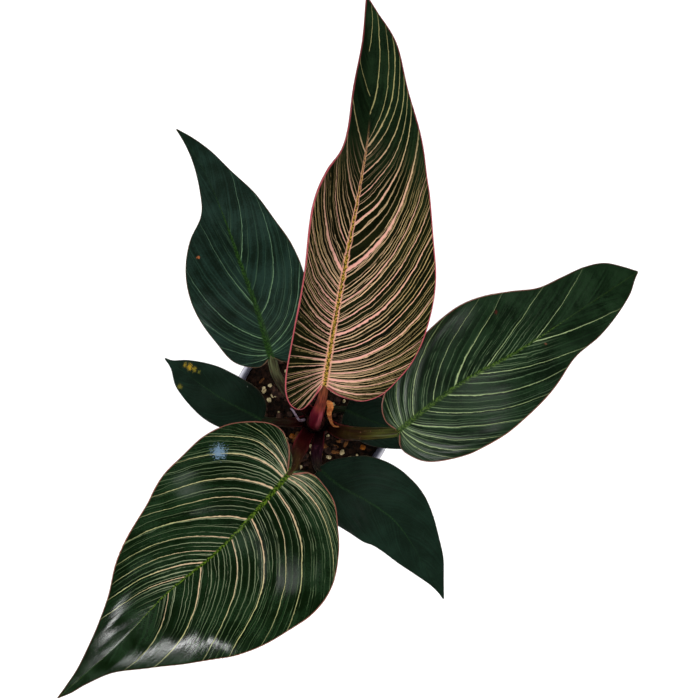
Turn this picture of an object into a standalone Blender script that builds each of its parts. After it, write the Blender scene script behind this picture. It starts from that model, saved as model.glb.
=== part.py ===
"""Philodendron with pinstriped leaves in a round nursery pot.

The frame's origin is the centre of the pot's underside, with +Z up. +Y is towards
the tip of the newest leaf. Sizes below are millimetres, and the meshes are metres.
"""

import math
import random

import bmesh
import bpy
from mathutils import Vector, noise

MM = 0.001
GAP = 0.3
UP = Vector((0, 0, 1))

POT_TURNS = 44
POT_HEIGHT = 90
RIM_RADIUS = 50
BASE_RADIUS = 35
WALL = 1.2
FLOOR = 1.6
CORNER = 1.2
SHOULDER = 75
SHOULDER_RADIUS = 46
# The rim's two sides, as how far in from its radius and how far below the lip.
RIM_INSIDE = [(3.6, 13), (3, 2.5), (1.8, 0.4), (1.4, 0)]
RIM_OUTSIDE = [(0.4, 0), (0, 0.5), (0, 2.2), (1.7, 2.9), (2.3, 13)]
DRAIN_HOLES = 6
DRAIN_RADIUS = 4
DRAIN_CIRCLE = 22

SOIL_TOP = 79
SOIL_TURNS = 40
SOIL_RINGS = 9
SOIL_LUMP = 1.6
SOIL_LUMP_WIDTH = 7
SOIL_BED = 4
GRAINS = 34
GRAIN_SEED = 11
GRAIN_SMALLEST = 1.3
GRAIN_LARGEST = 2.3
GRAIN_SPACING = 4.6

CROWN = Vector((2, -6, 0))
STEM_RADIUS = 5.6
STEM_FOOT = 50
STEM_TOP = 96
STEM_STEPS = (STEM_FOOT, 72, 76, 78, 80, 84, 88, 92, STEM_TOP)
LEAF_SCARS = (76, 80, 88)
SCAR_DEPTH = 0.35
PETIOLE_CIRCLE = 16

BLADE = 0.8
BLADE_CROWN = 0.1
RIB_BASE = 2.2
WAVE_COUNT = 2.5
WAVE_PHASE = {"left": 0, "right": 1.7}
NECK = 7
NECK_RINGS = 4
# Where a petiole passes below the start of its midrib, and where it ends inside it.
JOINT_BEHIND = 2.5
JOINT_BELOW = 2.4
JOINT_AHEAD = 2.5
JOINT_DEPTH = 1.5
PETIOLE_SIDES = 12
PETIOLE_RINGS = 12
SHEATH_DEPTH = 0.72
SHEATH_GROOVE = 0.3

# Each leaf's midrib runs from its petiole to its tip. An edge is a list of places along
# the midrib and out from it, round the lobe behind the petiole and on to the tip. The
# rise is how steeply each half climbs from the midrib, at the base, middle and tip. A
# petiole leaves the stem at its turn, in degrees, and its foot's height, or stands on
# the stem's top where it has no turn. Its half width is given at the foot, middle and
# leaf, and its sheath is the share of it that is broad and channelled.
LEAVES = {
    "newest": {
        "midrib": [
            (10, 20, 182), (15, 48, 203), (22, 84, 224), (28, 115, 234), (32, 147, 234), (31, 206, 214),
        ],
        "left": [
            (-1, 2), (-11, 5), (-18, 10), (-14, 16), (0, 19), (30, 18), (60, 17), (90, 18),
            (108, 15), (122, 10), (150, 8), (180, 3),
        ],
        "right": [
            (-1, 2), (-5, 10), (-6, 20), (0, 29), (10, 35), (25, 41), (45, 44), (70, 43),
            (96, 36), (124, 27), (150, 18), (178, 13), (196, 5),
        ],
        "rise_left": (1.0, 1.6, 0.6),
        "rise_right": (0.1, 0.05, 0.1),
        "wave": 1.2,
        "rows": 26,
        "colour": (0.115, 0.135, 0.075),
        "turn": None,
        "route": [(3, -3, 112), (5, 3, 132), (7.6, 10, 154), (9.2, 15.8, 172)],
        "petiole_width": (4.4, 3.4, 2.1),
        "sheath": 0.75,
    },
    "back_left": {
        "midrib": [
            (-20, 34, 150), (-26, 58, 160), (-35, 84, 164), (-46, 113, 158), (-59, 140, 146),
            (-76, 164, 126),
        ],
        "left": [
            (-1, 2), (-4, 7), (-2, 14), (4, 21), (16, 26), (30, 30), (45, 31), (60, 28),
            (75, 21), (88, 11), (102, 7), (125, 3), (142, 1),
        ],
        "right": [
            (-1, 2), (-5, 8), (-3, 16), (5, 22), (18, 27), (38, 30), (55, 29), (70, 25),
            (88, 20), (106, 13), (125, 8), (142, 4),
        ],
        "rise_left": (0.15, 0.2, -0.2),
        "rise_right": (0.15, 0.2, 0.1),
        "wave": 1.5,
        "rows": 22,
        "colour": (0.02, 0.045, 0.03),
        "turn": 124,
        "foot": 80,
        "route": [(-6, 5, 96), (-13, 13.5, 118), (-18, 24, 137)],
        "petiole_width": (3.5, 3.1, 2.5),
        "sheath": 0.4,
    },
    "right": {
        "midrib": [
            (49, -5, 160), (66, 10, 171), (85, 24, 179), (111, 39, 182), (148, 62, 170), (181, 81, 146),
        ],
        "left": [
            (-1, 2), (-2, 9), (3, 17), (16, 24), (32, 29), (48, 33), (62, 35), (76, 33),
            (90, 28), (104, 22), (118, 20), (135, 18), (150, 14), (162, 7),
        ],
        "right": [
            (-1, 2), (-6, 8), (-5, 14), (-1, 21), (7, 27), (20, 32), (35, 34), (52, 34),
            (68, 31), (85, 26), (102, 19), (120, 17), (138, 13), (155, 8), (165, 3),
        ],
        "rise_left": (0.25, 0.3, 0.0),
        "rise_right": (0.1, -0.05, 0.2),
        "wave": 1.8,
        "rows": 24,
        "colour": (0.022, 0.05, 0.025),
        "turn": -15,
        "foot": 82,
        "route": [(15.5, -9.4, 108), (23, -9, 132), (35, -7.5, 149)],
        "petiole_width": (3.8, 4.3, 2.6),
        "sheath": 0.62,
    },
    "front_left": {
        "midrib": [
            (-9, -27, 165), (-28, -48, 176), (-47, -67, 180), (-72, -88, 176), (-101, -119, 162),
            (-140, -156, 138),
        ],
        "left": [
            (-1, 2), (-8, 9), (-8, 18), (-5, 28), (3, 37), (13, 46), (28, 55), (42, 57),
            (56, 54), (72, 50), (94, 44), (113, 34), (130, 22), (150, 10), (170, 5), (184, 3),
        ],
        "right": [
            (-1, 2), (-10, 9), (-15, 18), (-12, 28), (0, 40), (14, 46), (30, 47), (45, 47),
            (62, 43), (80, 37), (96, 30), (112, 22), (130, 16), (150, 10), (168, 5), (184, 2),
        ],
        "rise_left": (0.1, 0.0, -0.1),
        "rise_right": (0.2, 0.15, 0.1),
        "wave": 1.5,
        "rows": 26,
        "colour": (0.03, 0.055, 0.03),
        "turn": 232,
        "foot": 82,
        "route": [(-4.6, -15.2, 108), (-5.4, -17.6, 130), (-6.4, -20.6, 150)],
        "petiole_width": (4.1, 4.6, 2.6),
        "sheath": 0.7,
    },
    "small_left": {
        "midrib": [(-28, -2, 120), (-48, 9, 126), (-61, 17, 122), (-87, 33, 104)],
        "left": [(-1, 2), (0, 8), (5, 12), (13, 14), (24, 15), (36, 14), (48, 12), (58, 9), (67, 3)],
        "right": [(-1, 2), (1, 8), (5, 12), (12, 15), (23, 16), (35, 15), (47, 12), (60, 7), (69, 2)],
        "rise_left": (0.15, 0.15, 0.0),
        "rise_right": (0.15, 0.15, 0.1),
        "wave": 0.8,
        "rows": 16,
        "colour": (0.02, 0.045, 0.032),
        "turn": 178,
        "foot": 81,
        "route": [(-10.5, -5.8, 93), (-17, -4.8, 108)],
        "petiole_width": (3.2, 2.8, 2),
        "sheath": 0.3,
    },
    "small_front": {
        "midrib": [(6, -30, 128), (18, -39, 133), (38, -50, 135), (54, -66, 128), (79, -111, 100)],
        "left": [
            (-1, 2), (1, 7), (5, 13), (12, 19), (22, 23), (34, 25), (46, 24), (60, 20),
            (75, 16), (92, 12), (105, 7), (115, 3),
        ],
        "right": [
            (-1, 2), (0, 8), (5, 14), (14, 19), (28, 20), (45, 20), (62, 17), (78, 13),
            (92, 8), (106, 3), (115, 1),
        ],
        "rise_left": (0.15, 0.15, 0.1),
        "rise_right": (0.1, 0.1, 0.0),
        "wave": 1.0,
        "rows": 18,
        "colour": (0.018, 0.042, 0.03),
        "turn": 286,
        "foot": 81,
        "route": [(3.8, -18.4, 97), (3.4, -22.7, 113)],
        "petiole_width": (3.3, 3.8, 2.2),
        "sheath": 0.55,
    },
    "small_right": {
        "midrib": [(21, 2, 104), (39, -5, 110), (57, -11, 108), (80, -19, 95)],
        "left": [(-1, 2), (0, 8), (6, 12), (18, 15), (32, 13), (46, 8), (56, 3)],
        "right": [(-1, 2), (0, 8), (6, 12), (18, 14), (32, 12), (46, 8), (56, 3)],
        "rise_left": (0.15, 0.15, 0.0),
        "rise_right": (0.0, 0.0, 0.0),
        "wave": 0.6,
        "rows": 14,
        "colour": (0.018, 0.042, 0.03),
        "turn": 40,
        "foot": 80.5,
        "route": [(10.5, 1.5, 91), (15, 2.4, 98)],
        "petiole_width": (2.6, 2.2, 1.8),
        "sheath": 0.3,
    },
}
PETIOLE_COLOURS = {
    "newest": (0.28, 0.03, 0.05),
    "back_left": (0.09, 0.05, 0.035),
    "right": (0.08, 0.045, 0.02),
    "front_left": (0.13, 0.015, 0.03),
    "small_left": (0.12, 0.03, 0.03),
    "small_front": (0.06, 0.02, 0.03),
    "small_right": (0.05, 0.05, 0.03),
}

# The dried sheath of the newest leaf's bud curls out beside its petiole, and a young
# root arches from the stem. Each has its half width and half thickness at both ends.
DRY_SHEATH = {
    "route": [
        (11.8, 9.8, 148), (12.4, 7.4, 144.5), (11.2, 3, 139), (12, -1, 134), (13.6, -5, 130),
        (16.8, -5.8, 129),
    ],
    "wide": (1.9, 0.5),
    "thick": (0.4, 0.35),
}
YOUNG_ROOT = {
    "route": [(-4.9, -4.4, 93), (-7, -4.3, 99.5), (-8.6, -2.2, 102), (-10.5, 1, 101.5), (-12.6, 3, 99)],
    "wide": (0.9, 0.5),
    "thick": (0.9, 0.5),
}


def clear_scene():
    for thing in list(bpy.data.objects):
        bpy.data.objects.remove(thing, do_unlink=True)


def collection(name):
    made = bpy.data.collections.new(name)
    bpy.context.scene.collection.children.link(made)
    return made


def material(name, colour, roughness):
    made = bpy.data.materials.new(name)
    made.use_nodes = True
    shader = made.node_tree.nodes["Principled BSDF"]
    shader.inputs["Base Color"].default_value = (*colour, 1)
    shader.inputs["Roughness"].default_value = roughness
    shader.inputs["Metallic"].default_value = 0
    return made


def mesh_object(name, points, faces, into, finish):
    """A named object from points in millimetres."""
    mesh = bpy.data.meshes.new(name)
    mesh.from_pydata([tuple(Vector(p) * MM) for p in points], [], faces)
    mesh.materials.append(finish)
    shaped = bmesh.new()
    shaped.from_mesh(mesh)
    bmesh.ops.recalc_face_normals(shaped, faces=shaped.faces)
    shaped.to_mesh(mesh)
    shaped.free()
    mesh.shade_smooth()
    mesh.set_sharp_from_angle(angle=math.radians(50))
    made = bpy.data.objects.new(name, mesh)
    into.objects.link(made)
    return made


def loft(name, rings, into, finish):
    """A closed solid through rings of as many points each, with a flat cap at both ends."""
    sides = len(rings[0])
    faces = []
    for row in range(len(rings) - 1):
        for i in range(sides):
            after = (i + 1) % sides
            low, high = row * sides, (row + 1) * sides
            faces.append((low + i, low + after, high + after))
            faces.append((low + i, high + after, high + i))
    last = (len(rings) - 1) * sides
    faces.append(tuple(range(sides))[::-1])
    faces.append(tuple(last + i for i in range(sides)))
    return mesh_object(name, [p for ring in rings for p in ring], faces, into, finish)


def mix(a, b, t):
    return a + (b - a) * t


def at_stage(values, t):
    """A value given at the base, middle and tip, read at t from 0 to 1."""
    base, middle, tip = values
    return mix(base, middle, 2 * t) if t < 0.5 else mix(middle, tip, 2 * t - 1)


class Path:
    """A smooth curve through its points, read by the distance along it."""

    STEPS = 12

    def __init__(self, points):
        given = [Vector(p) for p in points]
        given = [2 * given[0] - given[1], *given, 2 * given[-1] - given[-2]]
        self.points = []
        for a, b, c, d in zip(given, given[1:], given[2:], given[3:]):
            for step in range(self.STEPS):
                t = step / self.STEPS
                bend = (2 * a - 5 * b + 4 * c - d) * t * t + (3 * b - a - 3 * c + d) * t**3
                self.points.append((2 * b + (c - a) * t + bend) / 2)
        self.points.append(given[-2])
        self.reach = [0]
        for p, q in zip(self.points, self.points[1:]):
            self.reach.append(self.reach[-1] + (q - p).length)
        self.length = self.reach[-1]

    def at(self, distance):
        """The place at this distance, on a straight line before the start or past the end."""
        last = len(self.reach) - 2
        i = 0
        while i < last and self.reach[i + 1] < distance:
            i += 1
        share = (distance - self.reach[i]) / (self.reach[i + 1] - self.reach[i])
        return self.points[i].lerp(self.points[i + 1], share)

    def towards(self, distance):
        return (self.at(distance + 0.5) - self.at(distance - 0.5)).normalized()


class Leaf:
    """A leaf's blade: rows follow its side veins from the midrib to the edge."""

    COLUMNS = (0, 0.14, 0.42, 0.72, 1)
    VEIN_SWEEP = 3.4
    BASE_BOW = 0.13
    TIP_BOW = 0.05
    ROW_CROWDING = 1.25

    def __init__(self, shape):
        self.shape = shape
        self.midrib = Path(shape["midrib"])
        self.tip = self.midrib.length
        point = (self.tip, 0.4, 0)
        self.edges = {side: Path([(*p, 0) for p in shape[side]] + [point]) for side in ("left", "right")}

    def vein_start(self, share):
        """How far along the midrib the vein starts that meets the edge at this share of it."""
        return self.tip * mix(0.02 * share, 1, share**self.VEIN_SWEEP)

    def bow(self, share):
        """How far a vein swings back from a straight line, as a share of its length."""
        return mix(self.BASE_BOW, self.TIP_BOW, share) * min(1, 5 * share)

    def spot(self, side, share, across):
        """How far along and out a point lies, at a share of the edge and of the way out."""
        start = Vector((self.vein_start(share), 0, 0))
        end = self.edges[side].at(share * self.edges[side].length)
        chord = end - start
        swing = Vector((-chord.y, chord.x, 0)) * self.bow(share) * 4 * across * (1 - across)
        found = start + chord * across + swing
        return found.x, found.y

    def outward(self, side, along):
        forward = self.midrib.towards(along)
        level = Vector((-forward.y, forward.x, 0)).normalized()
        return level if side == "left" else -level

    def rise(self, side, along):
        return at_stage(self.shape["rise_" + side], min(max(along / self.tip, 0), 1))

    def place(self, side, share, across):
        """The middle of the blade's thickness there."""
        along, out = self.spot(side, share, across)
        stage = min(max(along / self.tip, 0), 1)
        crown = BLADE_CROWN * out * math.sin(math.pi * across) * math.sin(math.pi * stage)
        swell = math.sin(math.tau * WAVE_COUNT * share + WAVE_PHASE[side]) * (1 - stage)
        wave = self.shape["wave"] * across**2 * swell
        lift = UP * (self.rise(side, along) * out + crown + wave)
        return self.midrib.at(along) + self.outward(side, along) * out + lift

    def above(self, along):
        """The way up from the midrib, square to it."""
        forward = self.midrib.towards(along)
        return (UP - forward * UP.dot(forward)).normalized()

    def facing(self, side, share, across):
        """The way the blade's upper side faces there."""
        along, _ = self.spot(side, share, across)
        if across == 0:
            return self.above(along)
        over = self.outward(side, along) + UP * self.rise(side, along)
        face = self.midrib.towards(along).cross(over).normalized()
        return face if side == "left" else -face

    def grid(self):
        """Rows of places, and of the ways they face, from the left edge to the right edge."""
        count = self.shape["rows"]
        shares = [(row / count) ** self.ROW_CROWDING for row in range(count + 1)]
        left = [("left", across) for across in reversed(self.COLUMNS)]
        line = left + [("right", across) for across in self.COLUMNS[1:]]
        rows = [[self.place(side, share, across) for side, across in line] for share in shares]
        normals = [[self.facing(side, share, across) for side, across in line] for share in shares]
        return rows, normals

    def solid(self):
        """Points and faces of the blade, with the midrib standing out below it."""
        rows, normals = self.grid()
        wide = len(rows[0])
        middle = wide // 2
        points = []
        for row, ways in zip(rows, normals):
            points += [p + way * BLADE / 2 for p, way in zip(row, ways)]
        under = len(points)
        for i, row in enumerate(rows):
            rib = RIB_BASE * (1 - i / (len(rows) - 1))
            for j, p in enumerate(row):
                depth = BLADE / 2 + (rib if j == middle else 0)
                points.append(p - normals[i][j] * depth)
        faces = []
        for i in range(len(rows) - 1):
            for j in range(wide - 1):
                a = i * wide + j
                b, c, d = a + 1, a + wide + 1, a + wide
                faces += [(a, b, c), (a, c, d)]
                faces += [(under + a, under + c, under + b), (under + a, under + d, under + c)]
        rim = list(range(wide))
        rim += [i * wide + wide - 1 for i in range(1, len(rows))]
        rim += [(len(rows) - 1) * wide + j for j in reversed(range(wide - 1))]
        rim += [i * wide for i in reversed(range(1, len(rows) - 1))]
        for a, b in zip(rim, rim[1:] + rim[:1]):
            faces += [(a, under + b, b), (a, under + a, under + b)]
        return points, faces


def rim(side):
    return [(RIM_RADIUS - inset, POT_HEIGHT - below) for inset, below in side]


def inner_wall():
    """The pot's inner side as radius and height, from its floor to its lip."""
    foot = FLOOR + CORNER
    taper_there = mix(BASE_RADIUS, SHOULDER_RADIUS, foot / SHOULDER)
    return [
        (BASE_RADIUS - WALL - CORNER, FLOOR),
        (taper_there - WALL, foot),
        (SHOULDER_RADIUS - WALL, SHOULDER),
        *rim(RIM_INSIDE),
    ]


def outer_wall():
    """The pot's outer side as radius and height, from its lip to its underside."""
    return [
        *rim(RIM_OUTSIDE),
        (SHOULDER_RADIUS, SHOULDER),
        (BASE_RADIUS, CORNER),
        (BASE_RADIUS - CORNER, 0),
    ]


def make_pot(into, cutters):
    profile = [(0, FLOOR), *inner_wall(), *outer_wall(), (0, 0)]
    mesh = bpy.data.meshes.new("pot")
    edges = [(i, i + 1) for i in range(len(profile) - 1)]
    mesh.from_pydata([(r * MM, 0, z * MM) for r, z in profile], edges, [])
    mesh.materials.append(material("pot", (0.62, 0.6, 0.72), 0.25))
    pot = bpy.data.objects.new("pot", mesh)
    into.objects.link(pot)
    turn = pot.modifiers.new("Turn", "SCREW")
    turn.steps = turn.render_steps = POT_TURNS
    turn.use_merge_vertices = True
    turn.merge_threshold = 0.00001
    turn.use_smooth_shade = True
    holes = bmesh.new()
    for i in range(DRAIN_HOLES):
        angle = math.tau * (i + 0.5) / DRAIN_HOLES
        wide = DRAIN_RADIUS * MM
        deep = 4 * FLOOR * MM
        ring = bmesh.ops.create_cone(
            holes, cap_ends=True, segments=14, radius1=wide, radius2=wide, depth=deep
        )
        place = Vector((math.cos(angle), math.sin(angle), 0)) * DRAIN_CIRCLE * MM
        bmesh.ops.translate(holes, verts=ring["verts"], vec=place)
    mesh = bpy.data.meshes.new("drain_holes")
    holes.to_mesh(mesh)
    holes.free()
    cutter = bpy.data.objects.new("drain_holes", mesh)
    cutter.hide_render = True
    cutter.display_type = "WIRE"
    cutters.objects.link(cutter)
    drill = pot.modifiers.new("Drain holes", "BOOLEAN")
    drill.operation = "DIFFERENCE"
    drill.object = cutter


def circle(centre, radius, height, sides):
    turns = [math.tau * i / sides for i in range(sides)]
    level = Vector((centre.x, centre.y, height))
    return [level + Vector((math.cos(a), math.sin(a), 0)) * radius for a in turns]


def lump(x, y):
    """How far the soil stands up or dips here, from its crumbs and chips."""
    coarse = noise.noise(Vector((x, y, 3)) / SOIL_LUMP_WIDTH)
    fine = noise.noise(Vector((x, y, 9)) / SOIL_LUMP_WIDTH * 2.6)
    return SOIL_LUMP * (coarse + 0.5 * fine)


def grain_places():
    """Where the grains of perlite lie, and how big each is, clear of the petioles and the wall."""
    draw = random.Random(GRAIN_SEED)
    found = []
    while len(found) < GRAINS:
        size = draw.uniform(GRAIN_SMALLEST, GRAIN_LARGEST)
        away = (RIM_RADIUS - 7) * math.sqrt(draw.random())
        turn = draw.uniform(0, math.tau)
        spot = Vector((away * math.cos(turn), away * math.sin(turn), 0))
        apart = all((spot - other).length > GRAIN_SPACING for other, _ in found)
        if apart and (spot - CROWN).length > PETIOLE_CIRCLE:
            found.append((spot, size))
    return found


def add_grains(soil, cutters):
    """Perlite grains sunk into the top of the soil, in one body with it."""
    draw = random.Random(GRAIN_SEED)
    grains = bpy.data.collections.new("grains")
    cutters.children.link(grains)
    for spot, size in grain_places():
        shape = bmesh.new()
        bmesh.ops.create_icosphere(shape, subdivisions=1, radius=size * MM)
        for corner in shape.verts:
            corner.co *= draw.uniform(0.8, 1.15)
        mesh = bpy.data.meshes.new("grain")
        shape.to_mesh(mesh)
        shape.free()
        grain = bpy.data.objects.new("grain", mesh)
        height = SOIL_TOP + lump(spot.x, spot.y) + 0.25 * size
        grain.location = Vector((spot.x, spot.y, height)) * MM
        grains.objects.link(grain)
    join = soil.modifiers.new("Grains", "BOOLEAN")
    join.operation = "UNION"
    join.operand_type = "COLLECTION"
    join.collection = grains
    bpy.context.view_layer.update()
    graph = bpy.context.evaluated_depsgraph_get()
    joined = bpy.data.meshes.new_from_object(soil.evaluated_get(graph))
    soil.modifiers.clear()
    soil.data = joined
    for grain in list(grains.objects):
        bpy.data.objects.remove(grain, do_unlink=True)
    bpy.data.collections.remove(grains)


def make_soil(into, cutters):
    """Potting mix: lumpy on top, filling the pot, with a plain hole for the stem."""
    hole = STEM_RADIUS + GAP
    nothing = Vector((0, 0, 0))
    wall = inner_wall()
    rings = [circle(CROWN, hole, STEM_FOOT - GAP, SOIL_TURNS)]
    inner = circle(CROWN, hole, SOIL_TOP, SOIL_TURNS)
    outer = circle(nothing, wall[SOIL_BED - 1][0] - GAP, SOIL_TOP, SOIL_TURNS)
    for i in range(SOIL_RINGS + 1):
        share = i / SOIL_RINGS
        held = min(1, 4 * share, 6 * (1 - share))
        ring = [a.lerp(b, share**0.85) for a, b in zip(inner, outer)]
        rings.append([p + UP * (lump(p.x, p.y) * held) for p in ring])
    for radius, height in reversed(wall[:SOIL_BED]):
        rings.append(circle(nothing, radius - GAP, height + GAP, SOIL_TURNS))
    soil = loft("soil", rings, into, material("soil", (0.035, 0.022, 0.016), 0.95))
    add_grains(soil, cutters)


def make_stem(into):
    """The short stem, ringed by old leaf scars, that the petioles stand round."""
    rings = []
    for height in STEM_STEPS:
        scar = SCAR_DEPTH if height in LEAF_SCARS else 0
        rings.append(circle(CROWN, STEM_RADIUS - scar, height, 16))
    loft("stem", rings, into, material("stem", (0.11, 0.06, 0.03), 0.6))


def petiole_path(shape):
    """The middle of a petiole, from its foot at the stem into its leaf's midrib."""
    midrib = Path(shape["midrib"])
    forward = midrib.towards(1)
    above = (UP - forward * UP.dot(forward)).normalized()
    if shape["turn"] is None:
        foot = CROWN + UP * (STEM_TOP + GAP)
    else:
        turn = math.radians(shape["turn"])
        inner_half = shape["petiole_width"][0] * (SHEATH_DEPTH - SHEATH_GROOVE)
        away = STEM_RADIUS + GAP + inner_half
        foot = CROWN + Vector((math.cos(turn), math.sin(turn), 0)) * away + UP * shape["foot"]
    under_joint = midrib.at(0) - forward * JOINT_BEHIND - above * JOINT_BELOW
    inside_rib = midrib.at(JOINT_AHEAD) - above * JOINT_DEPTH
    return Path([foot, *shape["route"], under_joint, inside_rib])


def petiole_ring(shape, path, t, upright=False):
    """A ring round the petiole: round near the leaf, and broad and channelled lower down."""
    centre = path.at(t * path.length)
    forward = UP if upright else path.towards(t * path.length)
    inward = CROWN - centre
    inward.z = 0
    face = UP if inward.length < 1 else (UP + inward.normalized()).normalized()
    if upright:
        face = inward.normalized() if inward.length > 1 else Vector((0, 1, 0))
    side = forward.cross(face).normalized()
    face = side.cross(forward).normalized()
    radius = at_stage(shape["petiole_width"], t)
    winged = max(0, 1 - t / shape["sheath"]) ** 0.5
    depth = radius * mix(1, SHEATH_DEPTH, winged)
    groove = SHEATH_GROOVE * radius * winged
    ring = []
    for i in range(PETIOLE_SIDES):
        angle = math.tau * i / PETIOLE_SIDES
        high = depth * math.sin(angle) - groove * max(0, math.sin(angle)) ** 2
        ring.append(centre + side * (radius * math.cos(angle)) + face * high)
    return ring


def petiole_rings(shape):
    path = petiole_path(shape)
    top = 1 - NECK / path.length
    stages = [top * i / PETIOLE_RINGS for i in range(PETIOLE_RINGS + 1)]
    return [petiole_ring(shape, path, t, upright=t == 0) for t in stages]


def neck_rings(shape):
    """The petiole's last stretch, which is one with the blade and runs into its midrib."""
    path = petiole_path(shape)
    start = 1 - (NECK - GAP) / path.length
    rings = []
    for i in range(NECK_RINGS + 1):
        ring = petiole_ring(shape, path, mix(start, 1, i / NECK_RINGS))
        centre = sum(ring, Vector()) / len(ring)
        narrow = mix(1, 0.5, (i / NECK_RINGS) ** 2)
        rings.append([centre.lerp(p, narrow) for p in ring])
    return rings


def union(base, other):
    """Joins the second object to the first for good, and removes it."""
    join = base.modifiers.new("Join", "BOOLEAN")
    join.operation = "UNION"
    join.solver = "MANIFOLD"
    join.object = other
    bpy.context.view_layer.update()
    graph = bpy.context.evaluated_depsgraph_get()
    joined = bpy.data.meshes.new_from_object(base.evaluated_get(graph))
    base.modifiers.clear()
    base.data = joined
    bpy.data.objects.remove(other, do_unlink=True)


def make_leaf(name, shape, into):
    """A blade with its neck, and the petiole that carries it."""
    finish = material("leaf_" + name, shape["colour"], 0.35)
    points, faces = Leaf(shape).solid()
    blade = mesh_object("blade_" + name, points, faces, into, finish)
    union(blade, loft("neck", neck_rings(shape), into, finish))
    stalk = material("petiole_" + name, PETIOLE_COLOURS[name], 0.45)
    loft("petiole_" + name, petiole_rings(shape), into, stalk)


def taper(name, shape, sides, into, finish):
    """A bent taper, round or flat, such as a root or a dry sheath."""
    path = Path(shape["route"])
    rings = []
    count = 2 * len(shape["route"])
    for row in range(count + 1):
        t = row / count
        centre = path.at(t * path.length)
        forward = path.towards(t * path.length)
        side = UP.cross(forward).normalized()
        face = forward.cross(side)
        wide = mix(*shape["wide"], t)
        thick = mix(*shape["thick"], t)
        turns = [math.tau * i / sides for i in range(sides)]
        rings.append([centre + side * wide * math.cos(a) + face * thick * math.sin(a) for a in turns])
    return loft(name, rings, into, finish)


def main():
    clear_scene()
    plant = collection("potted_philodendron")
    cutters = collection("cutters")
    make_pot(plant, cutters)
    make_soil(plant, cutters)
    make_stem(plant)
    for name, shape in LEAVES.items():
        make_leaf(name, shape, plant)
    taper("dry_bud_sheath", DRY_SHEATH, 8, plant, material("dry_sheath", (0.5, 0.22, 0.07), 0.6))
    taper("young_root", YOUNG_ROOT, 8, plant, material("root", (0.3, 0.22, 0.28), 0.5))


main()
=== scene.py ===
"""The looks of a potted philodendron with pinstriped leaves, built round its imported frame.

Sizes are millimetres in the part's own frame, and the meshes are metres.
"""

import math
import random

import bmesh
import bpy
import numpy as np
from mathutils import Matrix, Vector, noise


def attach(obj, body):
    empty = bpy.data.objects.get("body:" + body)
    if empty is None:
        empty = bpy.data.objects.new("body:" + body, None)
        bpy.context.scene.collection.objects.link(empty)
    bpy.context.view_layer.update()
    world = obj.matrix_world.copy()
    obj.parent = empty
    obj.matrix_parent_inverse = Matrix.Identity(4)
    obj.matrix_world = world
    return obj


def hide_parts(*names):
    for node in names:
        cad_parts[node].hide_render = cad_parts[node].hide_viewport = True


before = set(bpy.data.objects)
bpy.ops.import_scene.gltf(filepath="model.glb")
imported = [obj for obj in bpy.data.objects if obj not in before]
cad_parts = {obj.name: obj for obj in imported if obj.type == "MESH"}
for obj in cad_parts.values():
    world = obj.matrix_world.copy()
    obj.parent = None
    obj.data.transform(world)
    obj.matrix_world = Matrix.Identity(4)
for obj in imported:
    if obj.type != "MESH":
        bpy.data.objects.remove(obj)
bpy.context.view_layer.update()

MM = 0.001
UP = Vector((0, 0, 1))

# The photograph is taken from straight above. Its pixels are placed by this camera.
CAMERA = Vector((23, 38, 650))
PHOTO_SIDE = 700
FOCAL_PIXELS = 918
SENSOR = 36

# The floor and the lamps, in metres. A lamp faces LIT, and has a place, size, power, and if it is mirrored.
STAGE_SIDE = 2.4
STAGE_BELOW = 0.0004
LIT = Vector((0.02, 0.03, 0.12))
LAMPS = {
    "key": ((-0.68, -1.12, 0.69), 0.14, 2.6, True),
    "sheen": ((0.02, -0.04, 0.42), 0.09, 0.06, True),
    "front": ((-0.6, -1.0, 1.1), 0.8, 17, False),
    "side": ((-0.7, 0.85, 0.95), 1.0, 9, False),
    "fill": ((1.1, 0.2, 0.9), 1.2, 12, False),
}

# The pot. Its rim's corners are how far in from its edge and how far below its top.
POT_HEIGHT = 90
RIM_RADIUS = 50
BASE_RADIUS = 35
WALL = 1.2
FLOOR = 1.6
CORNER = 1.2
SHOULDER = 75
SHOULDER_RADIUS = 46
RIM_INSIDE = [(3.6, 13), (3.4, 8), (3, 2.5), (2.5, 1.1), (1.8, 0.4), (1.4, 0.1), (1, 0)]
RIM_OUTSIDE = [(0.6, 0.05), (0.2, 0.25), (0, 0.6), (0, 2), (0.3, 2.3), (1.6, 2.7), (1.8, 3.2), (2.3, 13)]
POT_TURNS = 160
DRAIN_HOLES = 6
DRAIN_RADIUS = 4
DRAIN_CIRCLE = 22

# The potting mix.
SOIL_TOP = 79
SOIL_RADIUS = 46
SOIL_TURNS = 260
SOIL_RINGS = 90
SOIL_LUMP = 1.6
SOIL_LUMP_WIDTH = 7

# The stem, with its leaf scars and domed top, and the gap that petioles keep from it.
CROWN = Vector((2, -6, 0))
STEM_RADIUS = 5.6
STEM_FOOT = 76
STEM_TOP = 96
STEM_SIDES = 48
STEM_RINGS = 60
SCAR_DEPTH = 0.4
SCAR_SPACING = 4
DOME_HEIGHT = 5
DOME_INSET = 2.2
GAP = 0.3

# The blades: thickness, thinner rounded edge, midrib with a groove on top, waves and veins.
BLADE = 0.55
BLADE_CROWN = 0.1
EDGE_THIN = 0.45
EDGE_ROUND = 1.2
RIB_BASE = 1.7
RIB_HALF = 1.5
RIB_GROOVE = 0.25
WAVE_COUNT = 2.5
WAVE_PHASE = {"left": 0, "right": 1.7}
QUILT = 0.22
QUILT_COUNT = 13
LEAF_COLUMNS = 22
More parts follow.
